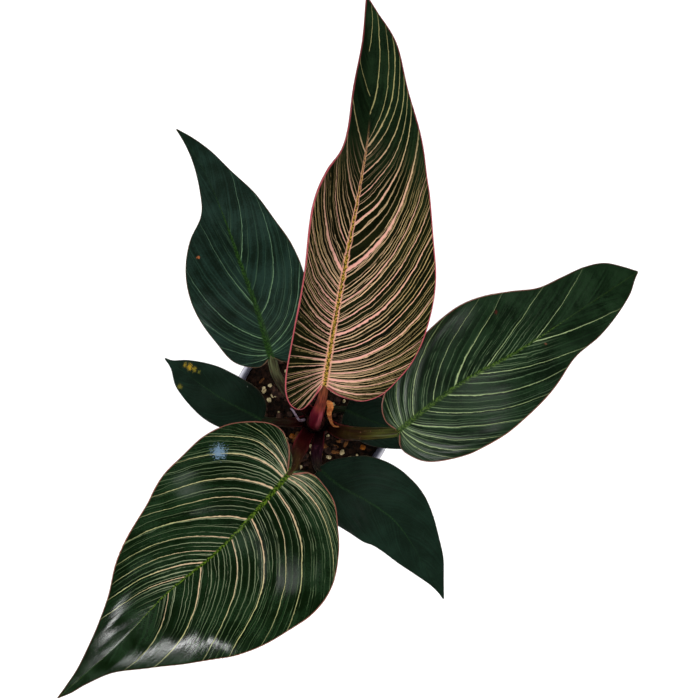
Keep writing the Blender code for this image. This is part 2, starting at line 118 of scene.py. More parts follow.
# The petioles: how they run into the midrib, their neck there, and their sheath.
JOINT_BEHIND = 2.5
JOINT_BELOW = 2.4
JOINT_AHEAD = 2.5
JOINT_DEPTH = 1.5
NECK = 6
NECK_END = 0.45
PETIOLE_SIDES = 40
PETIOLE_RINGS = 70
SHEATH_DEPTH = 0.72
SHEATH_GROOVE = 0.3
SHEATH_LAP = 0.3
SHEATH_SEAM = 0.1
SHEATH_CHANNEL = 2.6
SHEATH_BULGE = 0.22
SHEATH_BULGE_AT = 0.34
SHEATH_BULGE_REACH = 0.2


def ink(*screen):
    """A screen colour, 0 to 255, as linear light."""
    return tuple(c / 255 / 12.92 if c <= 10 else ((c / 255 + 0.055) / 1.055) ** 2.4 for c in screen)


WHITE = (1, 1, 1)
BLACK = (0, 0, 0)
UNDER_VEIN_INK = ink(122, 120, 84)
UNDER_RIB_INK = ink(120, 112, 74)
FLECK_INK = ink(170, 120, 96)

# A strong stripe is its share of the edge, and its half widths at the midrib and the edge.
STRIPED = {
    "ground": (ink(7, 18, 5), ink(19, 37, 18)),
    "stripe": (ink(176, 152, 122), ink(152, 150, 104)),
    "fine": (ink(150, 158, 124), ink(100, 116, 82)),
    "fine_count": 54,
    "fine_width": 0.16,
    "fine_strength": 0.68,
    "evenness": 0.35,
    "gaps": (0.1, 0.5),
    "fade": (0.42, 0.6),
    "midrib": (ink(14, 30, 4), ink(70, 92, 22)),
    "midrib_half": (1.6, 0.8, 0.26),
    "midrib_end": 0.3,
    "rails": None,
    "late": None,
    "margin": ink(120, 74, 62),
    "margin_width": 0.5,
    "gloss": 0.16,
    "mirror": 0.28,
    "shade": 1.0,
    "blots": [],
    "under": (ink(52, 74, 44), ink(82, 78, 56)),
}
LOOKS = {
    "newest": STRIPED | {
        "ground": (ink(5, 8, 1), ink(20, 24, 6)),
        "stripe": (ink(204, 150, 136), ink(192, 148, 124)),
        "fine": (ink(208, 174, 136), ink(172, 148, 100)),
        "fine_count": 78,
        "fine_width": 0.16,
        "fine_strength": 1.0,
        "evenness": 0.3,
        "gaps": (0.0, 0.44),
        "fade": (0.44, 0.64),
        "midrib": (ink(40, 40, 4), ink(168, 134, 58)),
        "midrib_half": (2.0, 1.5, 0.5),
        "midrib_end": 0.0,
        "rails": ink(204, 146, 126),
        "late": {"ground": (ink(9, 20, 8), ink(22, 38, 20)), "stripe": ink(140, 134, 88)},
        "margin": ink(156, 70, 78),
        "margin_width": 0.5,
        "gloss": 0.45,
        "mirror": 0.03,
        # shade darkens the left half: partly its own darker tone, partly painted shade of that raised half
        "shade": 0.66,
        "under": (ink(84, 50, 46), ink(108, 84, 60)),
        "left": [
            (0.015, 0.3, 0.3), (0.033, 0.25, 0.25), (0.05, 0.5, 0.35), (0.066, 0.25, 0.2),
            (0.082, 0.3, 0.3), (0.1, 0.4, 0.3), (0.12, 0.3, 0.22), (0.14, 0.25, 0.2), (0.16, 0.45, 0.3),
            (0.18, 0.3, 0.2), (0.2, 0.35, 0.25), (0.23, 0.7, 0.3), (0.258, 0.3, 0.2), (0.287, 0.5, 0.25),
            (0.315, 0.35, 0.2), (0.345, 0.3, 0.16), (0.371, 0.8, 0.22), (0.39, 0.3, 0.16),
            (0.41, 0.4, 0.2), (0.434, 0.3, 0.14), (0.455, 0.5, 0.2), (0.485, 0.3, 0.14),
            (0.52, 0.25, 0.16), (0.596, 0.9, 0.22), (0.64, 0.22, 0.14), (0.7, 0.22, 0.14),
            (0.768, 0.4, 0.16), (0.86, 0.2, 0.12),
        ],
        "right": [
            (0.05, 0.5, 0.5), (0.137, 0.7, 0.36), (0.19, 0.35, 0.25), (0.234, 0.8, 0.36),
            (0.3, 0.4, 0.24), (0.397, 0.85, 0.36), (0.455, 0.35, 0.2), (0.521, 0.85, 0.34),
            (0.57, 0.35, 0.2), (0.625, 0.35, 0.2), (0.7, 1.0, 0.36), (0.75, 0.45, 0.24),
            (0.78, 0.22, 0.15), (0.81, 0.35, 0.2), (0.86, 0.22, 0.15), (0.9, 0.4, 0.22),
            (0.93, 0.2, 0.13), (0.963, 0.32, 0.16), (0.984, 0.18, 0.1),
        ],
    },
    "back_left": STRIPED | {
        "ground": (ink(12, 24, 16), ink(24, 44, 36)),
        "stripe": (ink(90, 118, 86), ink(72, 98, 76)),
        "fine": (ink(58, 84, 62), ink(38, 62, 48)),
        "fine_count": 26,
        "fine_width": 0.2,
        "fine_strength": 0.6,
        "midrib": (ink(16, 36, 12), ink(34, 62, 20)),
        "midrib_half": (2.1, 1.3, 0.2),
        "gloss": 0.36,
        "mirror": 0.16,
        "blots": [((64.4, -19.5, 0.8), ink(150, 84, 44))],
        "margin": ink(88, 66, 50),
        "margin_width": 0.35,
        "left": [
            (0.1, 0.2, 0.15), (0.18, 0.36, 0.2), (0.3, 0.25, 0.15), (0.451, 0.34, 0.18),
            (0.606, 0.24, 0.13),
        ],
        "right": [
            (0.25, 0.24, 0.16), (0.369, 0.28, 0.28), (0.45, 0.16, 0.12), (0.621, 0.32, 0.18),
            (0.725, 0.28, 0.13),
        ],
    },
    "right": STRIPED | {
        "ground": (ink(7, 18, 7), ink(20, 41, 20)),
        "stripe": (ink(134, 150, 104), ink(116, 130, 86)),
        "fine": (ink(104, 126, 88), ink(70, 92, 64)),
        "fine_count": 46,
        "fine_width": 0.16,
        "fine_strength": 0.7,
        "mirror": 0.5,
        "fade": (0.44, 0.62),
        "midrib": (ink(16, 36, 6), ink(60, 84, 24)),
        "midrib_half": (1.6, 1.2, 0.3),
        "gloss": 0.34,
        "blots": [((76.5, -23.1, 1.0), ink(62, 20, 14)), ((92, 4.4, 0.6), ink(96, 56, 34))],
        "left": [
            (0.12, 0.2, 0.15), (0.22, 0.2, 0.15), (0.372, 0.28, 0.2), (0.46, 0.2, 0.12),
            (0.528, 0.55, 0.12), (0.651, 0.22, 0.15), (0.788, 0.2, 0.12),
        ],
        "right": [
            (0.2, 0.2, 0.18), (0.287, 0.28, 0.22), (0.37, 0.2, 0.18), (0.449, 0.34, 0.22),
            (0.538, 0.24, 0.18), (0.616, 0.34, 0.22), (0.696, 0.24, 0.18), (0.86, 0.34, 0.18),
        ],
    },
    "front_left": STRIPED | {
        "blots": [((15.3, 34.9, 3.6), ink(98, 122, 144))],
        "left": [
            (0.06, 0.2, 0.13), (0.13, 0.26, 0.15), (0.21, 0.22, 0.13), (0.28, 0.42, 0.18),
            (0.402, 0.55, 0.24), (0.449, 0.22, 0.14), (0.536, 0.45, 0.26), (0.614, 0.28, 0.18),
            (0.726, 0.38, 0.22), (0.8, 0.2, 0.12),
        ],
        "right": [
            (0.09, 0.24, 0.15), (0.172, 0.3, 0.15), (0.26, 0.46, 0.15), (0.344, 0.65, 0.18),
            (0.442, 0.6, 0.2), (0.5, 0.26, 0.15), (0.556, 0.46, 0.2), (0.604, 0.26, 0.15),
            (0.645, 0.2, 0.12), (0.686, 0.42, 0.18), (0.74, 0.24, 0.12),
        ],
    },
}
PLAIN = STRIPED | {
    "ground": (ink(12, 24, 16), ink(18, 36, 26)),
    "stripe": (ink(40, 62, 40), ink(34, 54, 36)),
    "fine": (ink(30, 52, 34), ink(24, 44, 30)),
    "fine_count": 20,
    "fine_width": 0.3,
    "fine_strength": 0.14,
    "midrib": (ink(16, 36, 20), ink(28, 50, 26)),
    "midrib_half": (1.0, 0.6, 0.2),
    "gloss": 0.4,
    "mirror": 0.14,
    "margin": ink(48, 44, 34),
    "margin_width": 0.35,
    "left": [],
    "right": [],
}
LOOKS["small_left"] = PLAIN | {
    "blots": [
        ((51.5, 5.2, 1.6), ink(120, 104, 22)), ((55.4, 4.6, 1.9), ink(150, 120, 18)),
        ((59.3, 4, 1.4), ink(120, 100, 20)), ((47.6, 5.4, 1), ink(84, 84, 26)),
        ((53.9, -8.2, 1.6), ink(96, 90, 24)), ((16.3, 13.3, 0.35), ink(200, 206, 200)),
    ],
}

# Layers of pinstripes: share of the count, of the width, strength, and how far they drift in millimetres.
PINSTRIPES = [(1.0, 1.0, 1.0, 0.6), (0.55, 0.75, 0.8, 2.2)]

# Where side veins run: share of the edge, share of the midrib they leave from, and how far they bow.
PLAIN_VEINS = [
    (0, 0, 0.1), (0.3, 0.015, 0.12), (0.5, 0.1, 0.12), (0.7, 0.3, 0.1), (0.85, 0.56, 0.07), (1, 1, 0.03),
]
VEINS = {
    "newest": {
        "left": [
            (0, 0, 0), (0.06, 0.014, 0), (0.12, 0.032, 0), (0.23, 0.08, 0), (0.33, 0.14, 0.06),
            (0.42, 0.215, 0.12), (0.5, 0.268, 0.1), (0.6, 0.325, 0.09), (0.68, 0.45, 0.08),
            (0.77, 0.6, 0.08), (0.88, 0.76, 0.05), (1, 1, 0.03),
        ],
        "right": [
            (0, 0, 0.1), (0.14, 0.008, 0.13), (0.25, 0.028, 0.12), (0.4, 0.075, 0.13), (0.52, 0.15, 0.11),
            (0.62, 0.235, 0.1), (0.7, 0.325, 0.11), (0.76, 0.46, 0.11), (0.82, 0.56, 0.1),
            (0.9, 0.61, 0.09), (0.96, 0.67, 0.05), (1, 1, 0.03),
        ],
    },
    "back_left": {
        "left": [
            (0, 0, 0.08), (0.18, 0.013, 0.09), (0.32, 0.03, 0.12), (0.45, 0.07, 0.12),
            (0.61, 0.195, 0.04), (0.75, 0.4, 0.03), (0.88, 0.68, 0.03), (1, 1, 0.03),
        ],
        "right": [
            (0, 0, 0.08), (0.2, 0.01, 0.08), (0.37, 0.035, 0.1), (0.5, 0.08, 0.13), (0.62, 0.155, 0.13),
            (0.725, 0.35, 0.05), (0.86, 0.62, 0.03), (1, 1, 0.03),
        ],
    },
    "right": {
        "left": [
            (0, 0, 0.08), (0.2, 0.02, 0.08), (0.37, 0.068, 0.07), (0.45, 0.14, 0.05), (0.53, 0.235, 0.03),
            (0.65, 0.34, 0.02), (0.79, 0.514, -0.02), (0.9, 0.72, 0), (1, 1, 0.02),
        ],
        "right": [
            (0, 0, 0.1), (0.15, 0.004, 0.14), (0.287, 0.01, 0.15), (0.45, 0.045, 0.08),
            (0.54, 0.115, 0.09), (0.62, 0.203, 0.08), (0.7, 0.316, 0.03), (0.86, 0.504, 0.03),
            (0.93, 0.68, 0.02), (1, 1, 0.02),
        ],
    },
    "front_left": {
        "left": [
            (0, 0, 0.12), (0.15, 0.004, 0.14), (0.28, 0.014, 0.15), (0.4, 0.058, 0.13),
            (0.45, 0.095, 0.12), (0.54, 0.16, 0.14), (0.615, 0.233, 0.14), (0.726, 0.34, 0.14),
            (0.85, 0.56, 0.08), (1, 1, 0.03),
        ],
        "right": [
            (0, 0, 0.1), (0.17, 0.004, 0.13), (0.26, 0.01, 0.2), (0.344, 0.02, 0.18), (0.442, 0.06, 0.14),
            (0.5, 0.105, 0.12), (0.556, 0.165, 0.12), (0.61, 0.24, 0.11), (0.69, 0.33, 0.06),
            (0.8, 0.47, 0.05), (0.9, 0.68, 0.04), (1, 1, 0.03),
        ],
    },
}

# Each leaf's midrib, edges, rises, waves and petiole, as in the part's source.
LEAVES = {
    "newest": {
        "midrib": [
            (10, 20, 182), (15, 48, 203), (22, 84, 224), (28, 115, 234), (32, 147, 234), (31, 206, 214),
        ],
        "left": [
            (-1, 2), (-11, 5), (-18, 10), (-14, 16), (0, 19), (30, 18), (60, 17), (90, 18), (108, 15),
            (122, 10), (150, 8), (180, 3),
        ],
        "right": [
            (-1, 2), (-5, 10), (-6, 20), (0, 29), (10, 35), (25, 41), (45, 44), (70, 43), (96, 36),
            (124, 27), (150, 18), (178, 13), (196, 5),
        ],
        "rise_left": (1.0, 1.6, 0.6),
        "rise_right": (0.1, 0.05, 0.1),
        "wave": 1.2,
        "rows": 200,
        "turn": None,
        "route": [(3, -3, 112), (5, 3, 132), (7.6, 10, 154), (9.2, 15.8, 172)],
        "petiole_width": (3.7, 3.0, 2.1),
        "sheath": 0.5,
        "rolled": True,
        "slots": ("leaf_new", "petiole_red"),
    },
    "back_left": {
        "midrib": [
            (-20, 34, 150), (-26, 58, 160), (-35, 84, 164), (-46, 113, 158), (-59, 140, 146),
            (-76, 164, 126),
        ],
        "left": [
            (-1, 2), (-4, 7), (-2, 14), (4, 21), (16, 26), (30, 30), (45, 31), (60, 28), (75, 21),
            (88, 11), (102, 7), (125, 3), (142, 1),
        ],
        "right": [
            (-1, 2), (-5, 8), (-3, 16), (5, 22), (18, 27), (38, 30), (55, 29), (70, 25), (88, 20),
            (106, 13), (125, 8), (142, 4),
        ],
        "rise_left": (0.15, 0.2, -0.2),
        "rise_right": (0.15, 0.2, 0.1),
        "wave": 1.5,
        "rows": 150,
        "turn": 124,
        "foot": 80,
        "route": [(-6, 5, 96), (-13, 13.5, 118), (-18, 24, 137)],
        "petiole_width": (3.5, 3.1, 2.5),
        "sheath": 0.4,
        "slots": ("leaf_dark", "petiole_olive"),
    },
    "right": {
        "midrib": [
            (49, -5, 160), (66, 10, 171), (85, 24, 179), (111, 39, 182), (148, 62, 170), (181, 81, 146),
        ],
        "left": [
            (-1, 2), (-2, 9), (3, 17), (16, 24), (32, 29), (48, 33), (62, 35), (76, 33), (90, 28),
            (104, 22), (118, 20), (135, 18), (150, 14), (162, 7),
        ],
        "right": [
            (-1, 2), (-6, 8), (-5, 14), (-1, 21), (7, 27), (20, 32), (35, 34), (52, 34), (68, 31),
            (85, 26), (102, 19), (120, 17), (138, 13), (155, 8), (165, 3),
        ],
        "rise_left": (0.25, 0.3, 0.0),
        "rise_right": (0.1, -0.05, 0.2),
        "wave": 1.8,
        "rows": 170,
        "turn": -15,
        "foot": 82,
        "route": [(15.5, -9.4, 108), (23, -9, 132), (35, -7.5, 149)],
        "petiole_width": (3.8, 4.3, 2.6),
        "sheath": 0.62,
        "slots": ("leaf_striped", "petiole_olive"),
    },
    "front_left": {
        "midrib": [
            (-9, -27, 165), (-28, -48, 176), (-47, -67, 180), (-72, -88, 176), (-101, -119, 162),
            (-140, -156, 138),
        ],
        "left": [
            (-1, 2), (-8, 9), (-8, 18), (-5, 28), (3, 37), (13, 46), (28, 55), (42, 57), (56, 54),
            (72, 50), (94, 44), (113, 34), (130, 22), (150, 10), (170, 5), (184, 3),
        ],
        "right": [
            (-1, 2), (-10, 9), (-15, 18), (-12, 28), (0, 40), (14, 46), (30, 47), (45, 47), (62, 43),
            (80, 37), (96, 30), (112, 22), (130, 16), (150, 10), (168, 5), (184, 2),
        ],
        "rise_left": (0.1, 0.0, -0.1),
        "rise_right": (0.2, 0.15, 0.1),
        "wave": 1.5,
        "rows": 190,
        "turn": 232,
        "foot": 82,
        "route": [(-4.6, -15.2, 108), (-5.4, -17.6, 130), (-6.4, -20.6, 150)],
        "petiole_width": (4.1, 4.6, 2.6),
        "sheath": 0.7,
        "slots": ("leaf_striped", "petiole_red"),
    },
    "small_left": {
        "midrib": [(-28, -2, 120), (-48, 9, 126), (-61, 17, 122), (-87, 33, 104)],
        "left": [(-1, 2), (0, 8), (5, 12), (13, 14), (24, 15), (36, 14), (48, 12), (58, 9), (67, 3)],
        "right": [(-1, 2), (1, 8), (5, 12), (12, 15), (23, 16), (35, 15), (47, 12), (60, 7), (69, 2)],
        "rise_left": (0.15, 0.15, 0.0),
        "rise_right": (0.15, 0.15, 0.1),
        "wave": 0.8,
        "rows": 90,
        "turn": 178,
        "foot": 81,
        "route": [(-10.5, -5.8, 93), (-17, -4.8, 108)],
        "petiole_width": (3.2, 2.8, 2),
        "sheath": 0.3,
        "slots": ("leaf_plain", "petiole_red"),
    },
    "small_front": {
        "midrib": [(6, -30, 128), (18, -39, 133), (38, -50, 135), (54, -66, 128), (79, -111, 100)],
        "left": [
            (-1, 2), (1, 7), (5, 13), (12, 19), (22, 23), (34, 25), (46, 24), (60, 20), (75, 16),
            (92, 12), (105, 7), (115, 3),
        ],
        "right": [
            (-1, 2), (0, 8), (5, 14), (14, 19), (28, 20), (45, 20), (62, 17), (78, 13), (92, 8), (106, 3),
            (115, 1),
        ],
        "rise_left": (0.15, 0.15, 0.1),
        "rise_right": (0.1, 0.1, 0.0),
        "wave": 1.0,
        "rows": 110,
        "turn": 286,
        "foot": 81,
        "route": [(3.8, -18.4, 97), (3.4, -22.7, 113)],
        "petiole_width": (3.3, 3.8, 2.2),
        "sheath": 0.55,
        "slots": ("leaf_plain", "petiole_purple"),
    },
    "small_right": {
        "midrib": [(21, 2, 104), (39, -5, 110), (57, -11, 108), (80, -19, 95)],
        "left": [(-1, 2), (0, 8), (6, 12), (18, 15), (32, 13), (46, 8), (56, 3)],
        "right": [(-1, 2), (0, 8), (6, 12), (18, 14), (32, 12), (46, 8), (56, 3)],
        "rise_left": (0.15, 0.15, 0.0),
        "rise_right": (0.0, 0.0, 0.0),
        "wave": 0.6,
        "rows": 80,
        "turn": 40,
        "foot": 80.5,
        "route": [(10.5, 1.5, 91), (15, 2.4, 98)],
        "petiole_width": (2.6, 2.2, 1.8),
        "sheath": 0.3,
        "slots": ("leaf_plain", "petiole_olive"),
    },
}
# A petiole's colours from its foot to its leaf.
PETIOLE_INKS = {
    "newest": [ink(48, 2, 14), ink(118, 16, 42), ink(120, 50, 36), ink(108, 56, 32)],
    "back_left": [ink(60, 26, 22), ink(60, 44, 32), ink(76, 74, 50), ink(82, 88, 58)],
    "right": [ink(48, 14, 12), ink(46, 30, 8), ink(50, 40, 10), ink(58, 66, 20)],
    "front_left": [ink(62, 8, 18), ink(60, 12, 14), ink(46, 18, 8), ink(50, 40, 14)],
    "small_left": [ink(62, 20, 20), ink(56, 22, 18), ink(40, 34, 20), ink(22, 42, 22)],
    "small_front": [ink(36, 14, 20), ink(40, 16, 24), ink(48, 18, 34), ink(40, 40, 26)],
    "small_right": [ink(46, 30, 20), ink(40, 36, 20), ink(30, 40, 22), ink(22, 42, 22)],
}
WING_INK = ink(118, 26, 40)

DRY_SHEATH = {
    "route": [
        (8.4, 9.6, 150), (10.6, 9.4, 148.5), (12.2, 7.2, 144.5), (11.4, 3, 139), (12, -1, 134),
        (13.6, -4.8, 130), (16.8, -5.6, 129),
    ],
    "wide": (2.3, 0.35),
    "thick": (0.45, 0.25),
    "swell": 1,
}
YOUNG_ROOT = {
    "route": [(-4.9, -4.4, 93), (-7, -4.3, 99.5), (-8.6, -2.2, 102), (-10.5, 1, 101.5), (-12.6, 3, 99)],
    "wide": (0.9, 0.5),
    "thick": (0.9, 0.5),
    "swell": 0,
}

# Places on the soil that the photograph shows, in its pixels.
PERLITE_PIXELS = [
    (264, 391), (274, 395), (279, 412), (301, 467), (328, 436), (342, 452), (357, 455), (269, 400),
    (344, 401), (333, 404), (348, 459), (311, 446), (329, 457),
]
BARK_PIXELS = [(340, 441), (336, 446), (337, 452), (305, 453), (346, 443)]
FERTILISER_PIXELS = [(363, 447), (292, 436)]


def mix(a, b, t):
    return a + (b - a) * t


def at_stage(values, t):
    """A value given at the base, middle and tip, read at t from 0 to 1."""
    base, middle, tip = values
    return mix(base, middle, 2 * t) if t < 0.5 else mix(middle, tip, 2 * t - 1)


def stage_of(along, tip):
    """How far along a midrib this is, from 0 at its base to 1 at its tip."""
    return min(max(along / tip, 0), 1)


def dimmed(colour, share):
    return tuple(share * c for c in colour)


def turns(sides):
    """The angles of the corners of a ring."""
    return [math.tau * i / sides for i in range(sides)]


def place_object(name, data):
    """A new object in the scene from a mesh, a camera or a lamp."""
    made = bpy.data.objects.new(name, data)
    bpy.context.scene.collection.objects.link(made)
    return made


def finish_piece(piece, slot, *nodes):
    """Every piece rides on the pot's body and may stand for nodes; its slot is not used."""
    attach(piece, "root")
    if nodes:
        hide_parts(*nodes)
    return piece


def mesh_piece(name, points, faces, materials):
    """An object from points in millimetres."""
    mesh = bpy.data.meshes.new(name)
    mesh.from_pydata([tuple(Vector(p) * MM) for p in points], [], faces)
    for material in materials:
        mesh.materials.append(material)
    shaped = bmesh.new()
    shaped.from_mesh(mesh)
    bmesh.ops.recalc_face_normals(shaped, faces=shaped.faces)
    shaped.to_mesh(mesh)
    shaped.free()
    mesh.shade_smooth()
    return place_object(name, mesh)


def give(piece, name, vectors):
    """Stores three numbers at each point of a piece, for its material to read."""
    field = piece.data.attributes.new(name, "FLOAT_VECTOR", "POINT")
    field.data.foreach_set("vector", np.asarray(vectors, np.float32).ravel())


def loft_faces(rows, sides, capped=True):
    faces = []
    for row in range(rows - 1):
        for i in range(sides):
            after = (i + 1) % sides
            low, high = row * sides, (row + 1) * sides
            faces.append((low + i, low + after, high + after, high + i))
    if capped:
        last = (rows - 1) * sides
        faces.append(tuple(range(sides))[::-1])
        faces.append(tuple(last + i for i in range(sides)))
    return faces


def operator(operation, flipped=False):
    """Arithmetic between a signal and another signal or a number."""
    def apply(self, other):
        pair = (other, self) if flipped else (self, other)
        return self.nodes.calc(operation, *pair)
    return apply


class Signal:
    """What a node gives at each point: a number, a place or a colour."""

    def __init__(self, nodes, socket):
        self.nodes = nodes
        self.socket = socket

    __add__ = __radd__ = operator("ADD")
    __sub__ = operator("SUBTRACT")
    __rsub__ = operator("SUBTRACT", flipped=True)
    __mul__ = __rmul__ = operator("MULTIPLY")
    __truediv__ = operator("DIVIDE")
    __pow__ = operator("POWER")
    at_least = operator("MAXIMUM")

    def __abs__(self):
        return self.nodes.calc("ABSOLUTE", self)

    def smooth(self, low, high, start=0, end=1):
        """Goes from start to end as this goes from low to high."""
        inputs = {"Value": self, "From Min": low, "From Max": high, "To Min": start, "To Max": end}
        return self.nodes.make("MapRange", 0, inputs, interpolation_type="SMOOTHSTEP")

    def blend(self, a, b):
        """The colour a where this is 0, and b where it is 1."""
        return self.nodes.make("Mix", 2, {0: self, 6: a, 7: b}, data_type="RGBA")

    def cloud(self, scale, detail=2, roughness=0.5):
        """Noise at this place."""
        inputs = {"Vector": self, "Scale": scale, "Detail": detail, "Roughness": roughness}
        return self.nodes.make("TexNoise", "Fac", inputs)

    def split(self):
        """The three numbers of a place or a colour."""
        made = self.nodes.add("SeparateXYZ", {0: self})
        return [Signal(self.nodes, socket) for socket in made.outputs]


class Nodes:
    """A node tree, and the ways to add to it."""

    def __init__(self, tree):
        self.tree = tree

    def feed(self, socket, value):
        if isinstance(value, Signal):
            self.tree.links.new(value.socket, socket)
        elif isinstance(value, tuple) and socket.type == "RGBA":
            socket.default_value = (*value, 1)
        else:
            socket.default_value = value

    def add(self, kind, inputs, **settings):
        made = self.tree.nodes.new("ShaderNode" + kind)
        for name, value in settings.items():
            setattr(made, name, value)
        for name, value in inputs.items():
            self.feed(made.inputs[name], value)
        return made

    def make(self, kind, output, inputs, **settings):
        """One output of a new node."""
        return Signal(self, self.add(kind, inputs, **settings).outputs[output])

    def calc(self, operation, *values):
        return self.make("Math", 0, dict(enumerate(values)), operation=operation)

    def vector(self, x, y, z):
        return self.make("CombineXYZ", 0, {0: x, 1: y, 2: z})

    def place(self, kind="Object"):
        return self.make("TexCoord", kind, {})

    def cells(self, spot, randomness):
        """Cells along a line: the distance to the nearest, and three numbers drawn for it."""
        inputs = {"W": spot, "Scale": 1, "Randomness": randomness}
        made = self.add("TexVoronoi", inputs, voronoi_dimensions="1D")
        return Signal(self, made.outputs["Distance"]), Signal(self, made.outputs["Color"]).split()


class Finish(Nodes):
    """A material whose colour, gloss and relief come from nodes."""

    def __init__(self, name, roughness, **settings):
        self.material = bpy.data.materials.new(name)
        self.material.use_nodes = True
        super().__init__(self.material.node_tree)
        self.set("Roughness", roughness)
        for socket, value in settings.items():
            self.set(socket.replace("_", " "), value)

    def set(self, socket, value):
        self.feed(self.tree.nodes["Principled BSDF"].inputs[socket], value)

    def read(self, name):
        """The three numbers stored at each point under this name."""
        return self.make("Attribute", "Vector", {}, attribute_name=name).split()

    def relief(self, height, distance, strength):
        inputs = {"Height": height, "Distance": distance * MM, "Strength": strength}
        self.set("Normal", self.make("Bump", 0, inputs))


def strong_stripes(share, outwards, spread, swelling, stripes):
    """How much of the chosen stripes covers a point of one half of the blade."""
    covered = 0
    for at, at_midrib, at_edge in stripes:
        wide = outwards.smooth(0, 0.8, at_midrib, at_edge) * swelling
        line = (abs(share - at) * spread / wide).smooth(0.45, 1.1, 1, 0)
        covered = line.at_least(covered)
    return covered


def fine_stripes(finish, look, share, outwards, spread, right):
    """Pinstripes at drawn places between the strong ones, broken along their length."""
    covered = 0
    for layer, (count, width, strength, drift) in enumerate(PINSTRIPES):
        count *= look["fine_count"]
        width *= look["fine_width"]
        moved = (finish.place().cloud(70 + 40 * layer, 1) - 0.5) * drift / spread.at_least(60)
        spot = (share + moved) * count + 9 * layer + right * 37
        away, drawn = finish.cells(spot, 1 - look["evenness"])
        pitch = spread / count
        wide = drawn[0].smooth(0, 1, 0.55 * width, 1.45 * width) * outwards.smooth(0, 0.9, 1.25, 0.75)
        line = (away * pitch / wide).smooth(0.5, 1.2, 1, 0)
        limit = outwards * 0.16 + drawn[2].smooth(0, 1, *look["gaps"])
        shown = finish.vector(outwards * 11, drawn[1] * 90, right).cloud(1) - limit
        power = drawn[1].smooth(0, 1, 0.45 * strength, strength) * pitch.smooth(0.35, 0.8)
        covered = (line * shown.smooth(-0.12, 0.08, 0.1, 1) * power).at_least(covered)
    return covered


def midrib_colour(finish, look, slant, out, middle, lanes):
    """The midrib's streaks, which slant to its edges, and pale rails where it has them."""
    streaks = finish.vector(slant * 1.1, out * 0.7, 0).cloud(1)
    rib = streaks.smooth(0.42, 0.6).blend(*look["midrib"])
    if look["rails"]:
        rail = abs(middle - 0.78).smooth(0.12, 0.34, 1, 0) * lanes.smooth(0.3, 0.5, 0.35, 1)
        rib = rail.blend(rib, look["rails"])
    return rib


def leaf_top(name, look, tip):
    """The blade's upper side: ground, pinstripes, midrib, margin and blots."""
    finish = Finish("leaf_" + name, look["gloss"], Specular_IOR_Level=look["mirror"])
    share, across, spread = finish.read("vein")
    along, out, edge = finish.read("spot")
    where = finish.place()
    stage = along / tip
    outwards = abs(across)
    right = finish.calc("GREATER_THAN", across, 0)
    jitter = where.cloud(420) - 0.5
    wobble = (where.cloud(90, 1) - 0.5) * 1.1 + jitter * 0.45
    share = share + wobble / spread.at_least(45)
    grain = where.cloud(1400, 3)
    mottle = where.cloud(60, 4, 0.6)
    lanes = finish.vector(share * 110, outwards, right).cloud(1)

    strong = 0
    swelling = jitter.smooth(-0.25, 0.25, 0.65, 1.3)
    for side, held in (("left", 1 - right), ("right", right)):
        if look[side]:
            strong += strong_stripes(share, outwards, spread, swelling, look[side]) * held
    strong = grain.smooth(0.2, 0.5, 0.75, 1) * outwards.smooth(0.75, 1, 1, 0.4) * strong
    fine = fine_stripes(finish, look, share, outwards, spread, right)
    fine = fine * stage.smooth(*look["fade"], 1, 0) * look["fine_strength"]

    ground = ((grain - 0.5) * 0.5 + (lanes - 0.5) * 0.7 + mottle).smooth(0.3, 0.72)
    colour = ground.blend(*look["ground"])
    stripe = outwards.smooth(0.1, 0.7).blend(*look["stripe"])
    if look["late"]:
        late = stage.smooth(0.45, 0.72)
        colour = late.blend(colour, ground.blend(*look["late"]["ground"]))
        stripe = late.blend(stripe, look["late"]["stripe"])
    colour = fine.blend(colour, outwards.smooth(0.1, 0.75).blend(*look["fine"]))
    colour = strong.blend(colour, stripe)
    # The left half is darkened, partly its own darker tone and partly painted shade of that raised half.
    if look["shade"] < 1:
        colour = across.smooth(-0.35, -0.02, look["shade"], 1).blend(BLACK, colour)

    base, halfway, end = look["midrib_half"]
    wide = stage.smooth(0, 0.3, base, halfway) * stage.smooth(0.3, 0.62, 1, end / halfway)
    middle = abs(out) / wide + (lanes - 0.5) * 1.5
    ribbed = middle.smooth(0.6, 1.15, 1, 0) * stage.smooth(0.56, 0.68, 1, look["midrib_end"])
    slant = along - abs(out) * 1.1
    colour = ribbed.blend(colour, midrib_colour(finish, look, slant, out, middle, lanes))
    rimmed = ((mottle - 0.5) * 0.6 + edge) / look["margin_width"]
    margin = stage.smooth(0.4, 0.8).blend(look["margin"], dimmed(look["margin"], 0.4))
    colour = rimmed.smooth(0.5, 1.3, 1, 0).blend(colour, margin)
    ragged = jitter * 0.5 + (grain - 0.5) * 3.6
    for (x, y, radius), tint in look["blots"]:
        away = ((along - x) ** 2 + (out - y) ** 2) ** 0.5 / radius + ragged
        colour = away.smooth(0.3, 1.3, 0.85, 0).blend(colour, tint)
    finish.set("Base Color", colour)
    finish.set("Roughness", mottle.smooth(0.3, 0.7, look["gloss"] - 0.05, look["gloss"] + 0.08))
    finish.relief(lanes * 1.2 + strong.at_least(fine) * 0.5 + where.cloud(2600), 0.06, 0.6)
    return finish.material


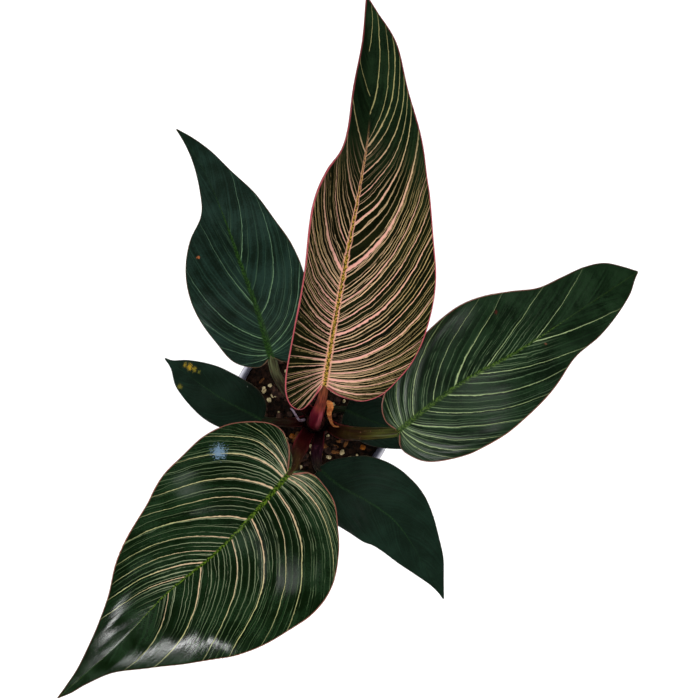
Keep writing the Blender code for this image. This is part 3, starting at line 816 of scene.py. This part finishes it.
def leaf_under(name, look):
    """The blade's lower side: paler, faintly red, with raised veins."""
    finish = Finish("under_" + name, 0.5, Specular_IOR_Level=0.3)
    share, across, _ = finish.read("vein")
    _, out, _ = finish.read("spot")
    where = finish.place()
    wobble = where.cloud(90, 1) * 0.02 + share
    veins = finish.calc("SINE", wobble * (math.tau * 2 * QUILT_COUNT))
    lanes = finish.vector(wobble * 160, across, 0).cloud(1)
    tone = lanes - 0.5 + where.cloud(70, 3)
    colour = tone.smooth(0.3, 0.7).blend(*look["under"])
    colour = veins.smooth(0.88, 1, 0, 0.6).blend(colour, UNDER_VEIN_INK)
    ribbed = abs(out).smooth(1.2, 2.4, 0.8, 0)
    finish.set("Base Color", ribbed.blend(colour, UNDER_RIB_INK))
    finish.relief(veins * 0.4 + lanes, 0.15, 0.6)
    return finish.material


class Path:
    """A smooth curve through its points, read by the distance along it."""

    STEPS = 12

    def __init__(self, points):
        given = [Vector(p) for p in points]
        given = [2 * given[0] - given[1], *given, 2 * given[-1] - given[-2]]
        self.points = []
        for a, b, c, d in zip(given, given[1:], given[2:], given[3:]):
            for step in range(self.STEPS):
                t = step / self.STEPS
                bend = (2 * a - 5 * b + 4 * c - d) * t * t + (3 * b - a - 3 * c + d) * t**3
                self.points.append((2 * b + (c - a) * t + bend) / 2)
        self.points.append(given[-2])
        self.reach = [0]
        for p, q in zip(self.points, self.points[1:]):
            self.reach.append(self.reach[-1] + (q - p).length)
        self.length = self.reach[-1]

    def at(self, distance):
        """The place at this distance, on a straight line before the start or past the end."""
        last = len(self.reach) - 2
        i = 0
        while i < last and self.reach[i + 1] < distance:
            i += 1
        share = (distance - self.reach[i]) / (self.reach[i + 1] - self.reach[i])
        return self.points[i].lerp(self.points[i + 1], share)

    def towards(self, distance):
        return (self.at(distance + 0.5) - self.at(distance - 0.5)).normalized()


class Leaf:
    """A leaf's blade: rows follow its side veins from the midrib to the edge."""

    ROW_CROWDING = 1.12
    EDGE_WEIGHT = 0.6

    def __init__(self, name, shape):
        self.shape = shape
        self.midrib = Path(shape["midrib"])
        self.tip = self.midrib.length
        self.edges = {}
        self.courses = {}
        for side in ("left", "right"):
            self.edges[side] = Path([(*p, 0) for p in shape[side]] + [(self.tip, 0.4, 0)])
            course = np.array(Path(VEINS.get(name, {}).get(side, PLAIN_VEINS)).points)
            course[:, 1] = np.maximum.accumulate(course[:, 1]) + np.linspace(0, 0.002, len(course))
            course[-1, 1] = 1
            self.courses[side] = course
        starts = [course[:, 1] for course in self.courses.values()] + [np.linspace(0, 1, 200)]
        starts = np.unique(np.concatenate(starts))
        starts = starts[starts <= 1]
        length = starts + self.EDGE_WEIGHT * (self.shares("left", starts) + self.shares("right", starts))
        steps = np.linspace(0, 1, shape["rows"] + 1) ** self.ROW_CROWDING
        self.starts = np.interp(steps, length / length[-1], starts)
        self.columns = [(1 - math.cos(math.pi * j / LEAF_COLUMNS)) / 2 for j in range(LEAF_COLUMNS + 1)]

    def shares(self, side, starts):
        """The shares of the edge where the veins that leave the midrib here end."""
        course = self.courses[side]
        return np.interp(starts, course[:, 1], course[:, 0])

    def spot(self, side, begin, across):
        """How far along and out a point of the vein lies that begins at this share of the midrib."""
        share = float(self.shares(side, begin))
        course = self.courses[side]
        start = Vector((self.tip * begin, 0, 0))
        end = self.edges[side].at(share * self.edges[side].length)
        chord = end - start
        bow = float(np.interp(share, course[:, 0], course[:, 2])) * (1.25 - 0.5 * across)
        found = start + chord * across + Vector((-chord.y, chord.x, 0)) * bow * 4 * across * (1 - across)
        return found.x, found.y

    def outward(self, side, along):
        forward = self.midrib.towards(along)
        level = Vector((-forward.y, forward.x, 0)).normalized()
        return level if side == "left" else -level

    def rise(self, side, along):
        return at_stage(self.shape["rise_" + side], stage_of(along, self.tip))

    def place(self, side, share, across, along, out):
        """The middle of the blade's thickness there."""
        stage = stage_of(along, self.tip)
        crown = BLADE_CROWN * out * math.sin(math.pi * across) * math.sin(math.pi * stage)
        swell = math.sin(math.tau * WAVE_COUNT * share + WAVE_PHASE[side]) * (1 - stage)
        wave = self.shape["wave"] * across**2 * swell
        quilt = QUILT * math.sin(math.pi * across) * math.sin(math.tau * QUILT_COUNT * share) * (1 - stage)
        lift = UP * (self.rise(side, along) * out + crown + wave + quilt)
        return self.midrib.at(along) + self.outward(side, along) * out + lift

    def facing(self, side, across, along):
        """The way the blade's upper side faces there."""
        forward = self.midrib.towards(along)
        if across == 0:
            return (UP - forward * UP.dot(forward)).normalized()
        over = self.outward(side, along) + UP * self.rise(side, along)
        face = forward.cross(over).normalized()
        return face if side == "left" else -face

    def half(self, side):
        """One half's grid: places, facings and, for the material, veins and spots."""
        shares = self.shares(side, self.starts)
        flat = np.array([[self.spot(side, s, a) for a in self.columns] for s in self.starts])
        by_share = np.gradient(flat, shares, axis=0)
        by_column = np.gradient(flat, self.columns, axis=1)
        by_column /= np.linalg.norm(by_column, axis=2, keepdims=True) + 1e-9
        spread = np.abs(by_share[..., 0] * by_column[..., 1] - by_share[..., 1] * by_column[..., 0])
        border = np.array([(p.x, p.y) for p in self.edges[side].points])
        gaps = distance_to_line(flat.reshape(-1, 2), border).reshape(spread.shape)
        sign = -1 if side == "left" else 1
        found = []
        for i, share in enumerate(shares):
            row = []
            for j, across in enumerate(self.columns):
                along, out = flat[i, j]
                middle = self.place(side, share, across, along, out)
                vein = (share, sign * across, spread[i, j])
                face = self.facing(side, across, along)
                row.append((middle, face, vein, (along, sign * out, gaps[i, j])))
            found.append(row)
        return found

    def rows(self):
        pairs = zip(self.half("left"), self.half("right"))
        return [left[::-1] + right[1:] for left, right in pairs]


def distance_to_line(spots, line):
    """Each spot's distance to the nearest stretch of a line of points."""
    nearest = np.full(len(spots), 1e9)
    for start, end in zip(line, line[1:]):
        step = end - start
        share = np.clip((spots - start) @ step / (step @ step + 1e-12), 0, 1)
        nearest = np.minimum(nearest, np.linalg.norm(spots - start - share[:, None] * step, axis=1))
    return nearest


def blade_faces(count, wide):
    """Faces of the upper side, then of the lower side and the rim round both."""
    under = count * wide
    top = []
    rest = []
    for i in range(count - 1):
        for j in range(wide - 1):
            a = i * wide + j
            b, c, d = a + 1, a + wide + 1, a + wide
            top.append((a, b, c, d))
            rest.append((under + a, under + d, under + c, under + b))
    rim = list(range(wide))
    rim += [i * wide + wide - 1 for i in range(1, count)]
    rim += [(count - 1) * wide + j for j in reversed(range(wide - 1))]
    rim += [i * wide for i in reversed(range(1, count - 1))]
    for a, b in zip(rim, rim[1:] + rim[:1]):
        rest.append((a, under + a, under + b, b))
    return top, rest


def make_blade(name, shape):
    look = LOOKS.get(name, PLAIN)
    leaf = Leaf(name, shape)
    rows = leaf.rows()
    points = []
    for side in (1, -1):
        for row in rows:
            for middle, face, _, (along, out, edge) in row:
                thick = BLADE / 2 * min(1, EDGE_THIN + edge / EDGE_ROUND)
                near = math.exp(-((out / RIB_HALF) ** 2)) * (1 - stage_of(along, leaf.tip))
                rib = -RIB_GROOVE * near if side > 0 else RIB_BASE * near
                points.append(middle + face * side * (thick + rib))
    top, rest = blade_faces(len(rows), len(rows[0]))
    materials = [leaf_top(name, look, leaf.tip), leaf_under(name, look)]
    piece = mesh_piece("leaf_" + name, points, top + rest, materials)
    piece.data.polygons.foreach_set("material_index", [0] * len(top) + [1] * len(rest))
    give(piece, "vein", [vein for row in rows for _, _, vein, _ in row] * 2)
    give(piece, "spot", [spot for row in rows for _, _, _, spot in row] * 2)
    return finish_piece(piece, shape["slots"][0], "blade_" + name)


def petiole_path(shape):
    """The middle of a petiole, from its foot at the stem into its leaf's midrib."""
    midrib = Path(shape["midrib"])
    forward = midrib.towards(1)
    above = (UP - forward * UP.dot(forward)).normalized()
    if shape["turn"] is None:
        foot = CROWN + UP * (STEM_TOP + GAP)
    else:
        turn = math.radians(shape["turn"])
        inner_half = shape["petiole_width"][0] * (SHEATH_DEPTH - SHEATH_GROOVE)
        away = STEM_RADIUS + GAP + inner_half
        foot = CROWN + Vector((math.cos(turn), math.sin(turn), 0)) * away + UP * shape["foot"]
    under_joint = midrib.at(0) - forward * JOINT_BEHIND - above * JOINT_BELOW
    inside_rib = midrib.at(JOINT_AHEAD) - above * JOINT_DEPTH
    return Path([foot, *shape["route"], under_joint, inside_rib])


def winged(shape, t):
    """How broad the petiole's wings are here, from 1 at its foot to 0 where its sheath ends."""
    return max(0, 1 - t / shape["sheath"]) ** 0.5


def petiole_ring(shape, path, t):
    """A ring round the petiole: round near the leaf, and a winged channel or a roll lower down."""
    centre = path.at(t * path.length)
    forward = path.towards(t * path.length)
    inward = CROWN - centre
    inward.z = 0
    face = UP if inward.length < 1 else (UP + inward.normalized()).normalized()
    side = forward.cross(face).normalized()
    face = side.cross(forward).normalized()
    radius = at_stage(shape["petiole_width"], t)
    wings = winged(shape, t)
    depth = radius * mix(1, SHEATH_DEPTH, wings)
    groove = SHEATH_CHANNEL * SHEATH_GROOVE * radius * wings
    lap = seam = 0
    if shape.get("rolled"):
        radius *= 1 + SHEATH_BULGE * math.exp(-(((t - SHEATH_BULGE_AT) / SHEATH_BULGE_REACH) ** 2))
        depth = radius
        groove = 0
        lap = SHEATH_LAP * wings
        seam = SHEATH_SEAM
    ring = []
    for i in range(PETIOLE_SIDES):
        angle = math.tau * (i / PETIOLE_SIDES + seam)
        over = 1 + lap * (0.5 - i / PETIOLE_SIDES)
        high = depth * over * math.sin(angle) - groove * max(0, math.sin(angle)) ** 2
        ring.append(centre + side * (radius * over * math.cos(angle)) + face * high)
    return ring


def rolled_sheath(colour, stage, turn, streaks):
    """The newest petiole's sheath: crimson, with painted shade on its far side and at its seam's crease,
    and a paler flap along its seam that is partly a painted highlight.
    """
    low = stage.smooth(0.42, 0.6, 1, 0)
    bright = turn.smooth(0.3, 0.4, 0.9, 0)
    colour = (bright * low).blend(colour, ink(96, 6, 30))
    # Painted shade on the side turned away and beyond the seam's crease.
    painted_side_shade = turn.smooth(0.34, 0.46) * turn.smooth(0.8, 0.9, 0.8, 0)
    dark = turn.smooth(0.8, 0.96, 0, 0.9).at_least(painted_side_shade)
    colour = (dark * low).blend(colour, ink(50, 3, 18))
    # A paler flap along the seam, partly its own colour and partly a painted highlight.
    ragged = (streaks - 0.5) * 0.06 + turn
    flap = ragged.smooth(0.09, 0.13, 1, 0) * stage.smooth(0.06, 0.16)
    return (flap * low).blend(colour, ink(164, 70, 80))


def petiole_finish(name):
    """Petiole skin: its colours change along it, with pale flecks and bright wing edges."""
    finish = Finish("petiole_" + name, 0.42, Specular_IOR_Level=0.2)
    stage, turn, wings = finish.read("skin")
    colour, *later = PETIOLE_INKS[name]
    dark = dimmed(colour, 0.3)
    for i, tone in enumerate(later):
        colour = stage.smooth(i / len(later), (i + 1) / len(later)).blend(colour, tone)
    streaks = finish.vector(stage * 5, turn * 14, 0).cloud(1, 4)
    colour = streaks.smooth(0.4, 0.62, 0, 0.75).blend(colour, dark)
    if name == "newest":
        colour = rolled_sheath(colour, stage, turn, streaks)
    side = abs(finish.calc("COSINE", turn * math.tau))
    colour = (side.smooth(0.76, 0.96) * wings * 0.75).blend(colour, WING_INK)
    flecks = finish.place().cloud(900).smooth(0.66, 0.74, 0, 0.5)
    finish.set("Base Color", flecks.blend(colour, FLECK_INK))
    finish.relief(streaks + flecks, 0.12, 0.5)
    return finish.material


def make_petiole(name, shape):
    path = petiole_path(shape)
    points = []
    skin = []
    for row in range(PETIOLE_RINGS + 1):
        t = row / PETIOLE_RINGS
        ring = petiole_ring(shape, path, t)
        centre = sum(ring, Vector()) / len(ring)
        narrow = mix(1, NECK_END, max(0, (t * path.length - path.length + NECK) / NECK) ** 2)
        points += [centre.lerp(p, narrow) for p in ring]
        skin += [(t, i / PETIOLE_SIDES, winged(shape, t)) for i in range(PETIOLE_SIDES)]
    faces = loft_faces(PETIOLE_RINGS + 1, PETIOLE_SIDES)
    piece = mesh_piece("stalk_" + name, points, faces, [petiole_finish(name)])
    give(piece, "skin", skin)
    return finish_piece(piece, shape["slots"][1], "petiole_" + name)


def taper(name, shape, sides, rings, curl, finish, slot, node):
    """A bent taper, round or cupped, such as a root or a dry sheath."""
    path = Path(shape["route"])
    points = []
    for row in range(rings + 1):
        t = row / rings
        centre = path.at(t * path.length)
        forward = path.towards(t * path.length)
        side = UP.cross(forward).normalized()
        face = forward.cross(side)
        # One that swells reaches its full width over the first quarter.
        opening = math.sin(min(1, t / 0.28 + 0.12) * math.pi / 2)
        wide = mix(*shape["wide"], t) * mix(1, opening, shape["swell"])
        thick = mix(*shape["thick"], t)
        for angle in turns(sides):
            cupped = curl * wide * (math.cos(angle) ** 2 - 0.5) * (1 - t)
            wrinkle = 1 + 0.06 * noise.noise(Vector((3 * math.cos(angle), 3 * math.sin(angle), 14 * t)))
            out = side * wide * math.cos(angle) + face * (thick * math.sin(angle) + cupped)
            points.append(centre + out * wrinkle)
    piece = mesh_piece(name, points, loft_faces(rings + 1, sides), [finish])
    return finish_piece(piece, slot, node)


def lump(x, y):
    """How far the soil stands up or dips here, in its broad lumps."""
    coarse = noise.noise(Vector((x, y, 3)) / SOIL_LUMP_WIDTH)
    fine = noise.noise(Vector((x, y, 9)) / SOIL_LUMP_WIDTH * 2.6)
    return SOIL_LUMP * (coarse + 0.5 * fine)


def crumbs(x, y):
    """The soil's fine crumbs, on top of its lumps."""
    spot = Vector((x, y, 20))
    rough = abs(noise.noise(spot / 2.2)) * 1.5 + abs(noise.noise(spot / 0.95)) * 0.8
    return rough + noise.noise(spot / 0.45) * 0.3 - 0.6


def soil_finish():
    finish = Finish("soil", 0.9, Specular_IOR_Level=0.25)
    coarse = finish.place().cloud(320, 5, 0.65)
    fine = finish.place().cloud(1500, 3, 0.7)
    colour = coarse.smooth(0.4, 0.62).blend(ink(12, 7, 5), ink(40, 24, 16))
    finish.set("Base Color", fine.smooth(0.6, 0.72, 0, 0.6).blend(colour, ink(84, 56, 36)))
    finish.relief(coarse + fine, 0.4, 0.8)
    return finish.material


def make_soil():
    """Potting mix to just below the rim, and down to the drain holes."""
    points = [(0, 0, SOIL_TOP + lump(0, 0))]
    for ring in range(1, SOIL_RINGS + 1):
        radius = SOIL_RADIUS * ring / SOIL_RINGS
        # Lumps and crumbs are lower in the last tenth, towards the wall.
        settled = min(1, 8 * (1 - ring / SOIL_RINGS) + 0.2)
        for turn in turns(SOIL_TURNS):
            x, y = radius * math.cos(turn), radius * math.sin(turn)
            points.append((x, y, SOIL_TOP + (lump(x, y) + crumbs(x, y)) * settled))
    slope = (SHOULDER_RADIUS - BASE_RADIUS) / SHOULDER
    below = [
        (SHOULDER_RADIUS - WALL - GAP, SHOULDER),
        (BASE_RADIUS - WALL - GAP + slope * 3, FLOOR + 2),
        (BASE_RADIUS - 6, FLOOR + GAP),
    ]
    for radius, height in below:
        points += [(radius * math.cos(a), radius * math.sin(a), height) for a in turns(SOIL_TURNS)]
    rings = SOIL_RINGS + len(below)
    faces = [(0, 1 + i, 1 + (i + 1) % SOIL_TURNS) for i in range(SOIL_TURNS)]
    faces += [tuple(1 + corner for corner in face) for face in loft_faces(rings, SOIL_TURNS, capped=False)]
    last = 1 + (rings - 1) * SOIL_TURNS
    faces.append(tuple(last + i for i in range(SOIL_TURNS)))
    return finish_piece(mesh_piece("potting_mix", points, faces, [soil_finish()]), "soil", "soil")


def on_soil(pixel):
    """The place on the soil that a pixel of the photograph shows."""
    scale = (CAMERA.z - SOIL_TOP) / FOCAL_PIXELS
    x = CAMERA.x + (pixel[0] - PHOTO_SIDE / 2) * scale
    y = CAMERA.y - (pixel[1] - PHOTO_SIDE / 2) * scale
    return x, y


def scattered(count, seed, clear):
    """Drawn places on the soil, clear of the stem and of the pot's wall."""
    draw = random.Random(seed)
    found = []
    while len(found) < count:
        away = (SOIL_RADIUS - 2.5) * math.sqrt(draw.random())
        turn = draw.uniform(0, math.tau)
        spot = (away * math.cos(turn), away * math.sin(turn))
        if math.hypot(spot[0] - CROWN.x, spot[1] - CROWN.y) > clear:
            found.append(spot)
    return found


def crumb_piece(name, spots, seed, sizes, stretch, sink, finish, slot):
    """Many rough grains or chips, half sunk in the soil, as one piece."""
    draw = random.Random(seed)
    shape = bmesh.new()
    for x, y in spots:
        size = draw.uniform(*sizes)
        long, wide, high = (size * draw.uniform(0.85, 1.15) * s for s in stretch)
        turn = draw.uniform(0, math.tau)
        tilt = draw.uniform(-0.35, 0.35)
        grain = bmesh.ops.create_icosphere(shape, subdivisions=3, radius=1)["verts"]
        seat = SOIL_TOP + lump(x, y) + sink * high
        shift = Vector((draw.uniform(0, 50), draw.uniform(0, 50), 0))
        for corner in grain:
            rough = 1 + 0.35 * noise.noise(corner.co * 1.3 + shift)
            rough += 0.14 * noise.noise(corner.co * 4 + shift)
            p = Vector((corner.co.x * long, corner.co.y * wide, corner.co.z * high)) * rough
            p.z += p.x * tilt
            across = math.cos(turn) * p.y + math.sin(turn) * p.x
            p.x = math.cos(turn) * p.x - math.sin(turn) * p.y
            corner.co = Vector((x + p.x, y + across, seat + p.z)) * MM
    mesh = bpy.data.meshes.new(name)
    shape.to_mesh(mesh)
    shape.free()
    mesh.shade_smooth()
    mesh.materials.append(finish)
    return finish_piece(place_object(name, mesh), slot)


def speckled(name, low, high, scale, roughness, depth):
    """A rough two-tone finish for grains, chips and dry or woody pieces."""
    finish = Finish(name, roughness, Specular_IOR_Level=0.3)
    where = finish.place()
    finish.set("Base Color", where.cloud(scale, 4, 0.65).smooth(0.36, 0.66).blend(low, high))
    finish.relief(where.cloud(3 * scale, 3), depth, 0.8)
    return finish.material


def litter():
    """What lies in the soil: perlite, bark chips, and a few beads of fertiliser."""
    perlite = speckled("perlite", ink(132, 112, 76), ink(212, 198, 156), 700, 0.85, 0.2)
    spots = [on_soil(p) for p in PERLITE_PIXELS] + scattered(30, 4, 9)
    crumb_piece("perlite_grains", spots, 5, (0.7, 1.6), (1.15, 1, 0.9), 0.4, perlite, "perlite")
    bark = speckled("bark", ink(50, 28, 14), ink(134, 84, 40), 500, 0.8, 0.3)
    spots = [on_soil(p) for p in BARK_PIXELS] + scattered(24, 6, 9)
    crumb_piece("bark_chips", spots, 7, (1.5, 3.1), (1.3, 0.5, 0.4), 0.5, bark, "bark")
    dark = speckled("dark_chips", ink(28, 18, 16), ink(70, 46, 36), 400, 0.85, 0.3)
    crumb_piece("dark_chips", scattered(110, 8, 8), 9, (1.2, 2.8), (1.2, 0.8, 0.55), 0.4, dark, "bark")
    bead = speckled("fertiliser", ink(112, 58, 10), ink(160, 92, 22), 300, 0.4, 0.05)
    spots = [on_soil(p) for p in FERTILISER_PIXELS]
    crumb_piece("fertiliser_beads", spots, 13, (1.5, 1.8), (1, 1, 1), 0.7, bead, "fertiliser")


def make_stem():
    """The short stem, ringed by old leaf scars, that the petioles stand round."""
    points = []
    for row in range(STEM_RINGS + 1):
        height = mix(STEM_FOOT, STEM_TOP, row / STEM_RINGS)
        scar = SCAR_DEPTH * max(0, math.sin(height * math.tau / SCAR_SPACING)) ** 6
        dome = DOME_INSET * max(0, (height - STEM_TOP + DOME_HEIGHT) / DOME_HEIGHT) ** 2
        for turn in turns(STEM_SIDES):
            rough = 0.18 * noise.noise(Vector((3 * math.cos(turn), 3 * math.sin(turn), height / 3)))
            radius = STEM_RADIUS - scar + rough - 0.1 - dome
            points.append(CROWN + Vector((radius * math.cos(turn), radius * math.sin(turn), height)))
    bark = speckled("stem", ink(38, 14, 14), ink(84, 40, 32), 260, 0.6, 0.2)
    piece = mesh_piece("short_stem", points, loft_faces(STEM_RINGS + 1, STEM_SIDES), [bark])
    return finish_piece(piece, "stem", "stem")


def pot_finish():
    """Thin glossy plastic, faintly lavender, that lets some light through, with painted shade on the rim's
    inner wall.
    """
    finish = Finish("pot_plastic", 0.22, Specular_IOR_Level=0.6, Transmission_Weight=0.08, IOR=1.46)
    where = finish.place()
    haze = where.cloud(14, 1)
    colour = haze.smooth(0.3, 0.7).blend(ink(212, 211, 226), ink(226, 225, 236))
    x, y, z = where.split()
    radius = (x * x + y * y) ** 0.5 * (1 / MM)
    facing_x, facing_y, _ = finish.make("NewGeometry", "Normal", {}).split()
    # Painted shade: inward-facing surfaces inside the rim's edge turn dark bluish grey.
    inner = (facing_x * x + facing_y * y).smooth(-0.02, -0.004, 1, 0)
    streaks = finish.vector(x, y, z * 0.1).cloud(260, 3)
    painted_inner_shade = (streaks * 1.2 + radius).smooth(RIM_RADIUS - 2, RIM_RADIUS - 0.4, 0.85, 0) * inner
    colour = painted_inner_shade.blend(colour, ink(60, 64, 88))
    lip = radius.smooth(RIM_RADIUS - 0.5, RIM_RADIUS - 0.15, 0, 0.85)
    finish.set("Base Color", lip.blend(colour, ink(96, 78, 72)))
    finish.set("Roughness", haze.smooth(0.3, 0.7, 0.2, 0.26))
    finish.relief(where.cloud(160), 0.03, 0.2)
    return finish.material


def pot_profile():
    """The pot's inner side and then its outer side, as radius and height."""
    levels = (15, 30, 45, 60)

    def wall(height):
        return mix(BASE_RADIUS, SHOULDER_RADIUS, height / SHOULDER)

    inside = [(0, FLOOR), (BASE_RADIUS - WALL - CORNER, FLOOR)]
    inside += [(wall(h) - WALL, h) for h in (FLOOR + CORNER, *levels, SHOULDER)]
    rim = [(RIM_RADIUS - inset, POT_HEIGHT - below) for inset, below in RIM_INSIDE + RIM_OUTSIDE]
    outside = [(wall(h), h) for h in (SHOULDER, *levels[::-1], CORNER)]
    return inside + rim + outside + [(BASE_RADIUS - CORNER, 0), (0, 0)]


def drain_holes():
    """The cutter for the holes in the pot's floor."""
    holes = bmesh.new()
    wide = DRAIN_RADIUS * MM
    for i in range(DRAIN_HOLES):
        angle = math.tau * (i + 0.5) / DRAIN_HOLES
        ring = bmesh.ops.create_cone(
            holes, cap_ends=True, segments=32, radius1=wide, radius2=wide, depth=4 * FLOOR * MM
        )
        place = Vector((math.cos(angle), math.sin(angle), 0)) * DRAIN_CIRCLE * MM
        bmesh.ops.translate(holes, verts=ring["verts"], vec=place)
    mesh = bpy.data.meshes.new("drain_holes")
    holes.to_mesh(mesh)
    holes.free()
    return place_object("drain_holes", mesh)


def make_pot():
    """The round pot, with its stepped rim, flat underside and drain holes."""
    profile = pot_profile()
    mesh = bpy.data.meshes.new("nursery_pot")
    edges = [(i, i + 1) for i in range(len(profile) - 1)]
    mesh.from_pydata([(r * MM, 0, z * MM) for r, z in profile], edges, [])
    mesh.materials.append(pot_finish())
    pot = place_object("nursery_pot", mesh)
    turn = pot.modifiers.new("Turn", "SCREW")
    turn.steps = turn.render_steps = POT_TURNS
    turn.use_merge_vertices = True
    turn.merge_threshold = 0.00001
    cutter = drain_holes()
    drill = pot.modifiers.new("Drain holes", "BOOLEAN")
    drill.operation = "DIFFERENCE"
    drill.object = cutter
    bpy.context.view_layer.update()
    made = bpy.data.meshes.new_from_object(pot.evaluated_get(bpy.context.evaluated_depsgraph_get()))
    pot.modifiers.clear()
    pot.data = made
    bpy.data.objects.remove(cutter, do_unlink=True)
    made.shade_smooth()
    made.set_sharp_from_angle(angle=math.radians(40))
    return finish_piece(pot, "pot", "pot")


def make_camera():
    camera = bpy.data.cameras.new("camera")
    camera.sensor_width = SENSOR
    camera.lens = FOCAL_PIXELS * SENSOR / PHOTO_SIDE
    camera.clip_start = 0.01
    view = place_object("camera", camera)
    view.location = CAMERA * MM
    bpy.context.scene.camera = view


def make_light(name, place, size, power, mirrored):
    """A round lamp. A mirrored one only makes highlights in glossy surfaces, and the others none."""
    light = bpy.data.lights.new(name, "AREA")
    light.shape = "DISK"
    light.size = size
    light.energy = power
    lamp = place_object(name, light)
    lamp.location = place
    lamp.rotation_euler = (LIT - Vector(place)).to_track_quat("-Z", "Y").to_euler()
    lamp.visible_camera = False
    lamp.visible_glossy = mirrored
    lamp.visible_diffuse = not mirrored


def make_stage():
    """A plain pale floor, and soft light from low all round with little from overhead."""
    bpy.ops.mesh.primitive_grid_add(
        x_subdivisions=8, y_subdivisions=8, size=STAGE_SIDE, location=(0, 0, -STAGE_BELOW)
    )
    floor = bpy.context.object
    floor.name = "floor"
    floor.visible_glossy = False
    paint = Finish("floor", 0.9, Specular_IOR_Level=0.1)
    paint.set("Base Color", paint.place().cloud(3).blend(ink(243, 243, 243), ink(247, 247, 247)))
    floor.data.materials.append(paint.material)
    world = bpy.data.worlds.new("studio")
    bpy.context.scene.world = world
    world.use_nodes = True
    world.cycles_visibility.glossy = False
    sky = Nodes(world.node_tree)
    back = world.node_tree.nodes["Background"]
    _, _, height = sky.place("Generated").split()
    sky.feed(back.inputs["Strength"], height.smooth(0, 0.9, 1, 0.5))
    sky.feed(back.inputs["Color"], WHITE)
    for name, lamp in LAMPS.items():
        make_light(name, *lamp)
    bpy.context.scene.view_settings.view_transform = "Standard"


def main():
    make_camera()
    make_stage()
    make_pot()
    make_soil()
    litter()
    make_stem()
    for name, shape in LEAVES.items():
        make_blade(name, shape)
        make_petiole(name, shape)
    dry = speckled("dry_sheath", ink(130, 62, 22), ink(186, 116, 56), 300, 0.6, 0.15)
    taper("curled_bud_sheath", DRY_SHEATH, 32, 60, 0.5, dry, "dry_sheath", "dry_bud_sheath")
    root = speckled("root", ink(110, 84, 100), ink(176, 160, 178), 350, 0.5, 0.1)
    taper("arching_root", YOUNG_ROOT, 24, 40, 0, root, "root", "young_root")


main()
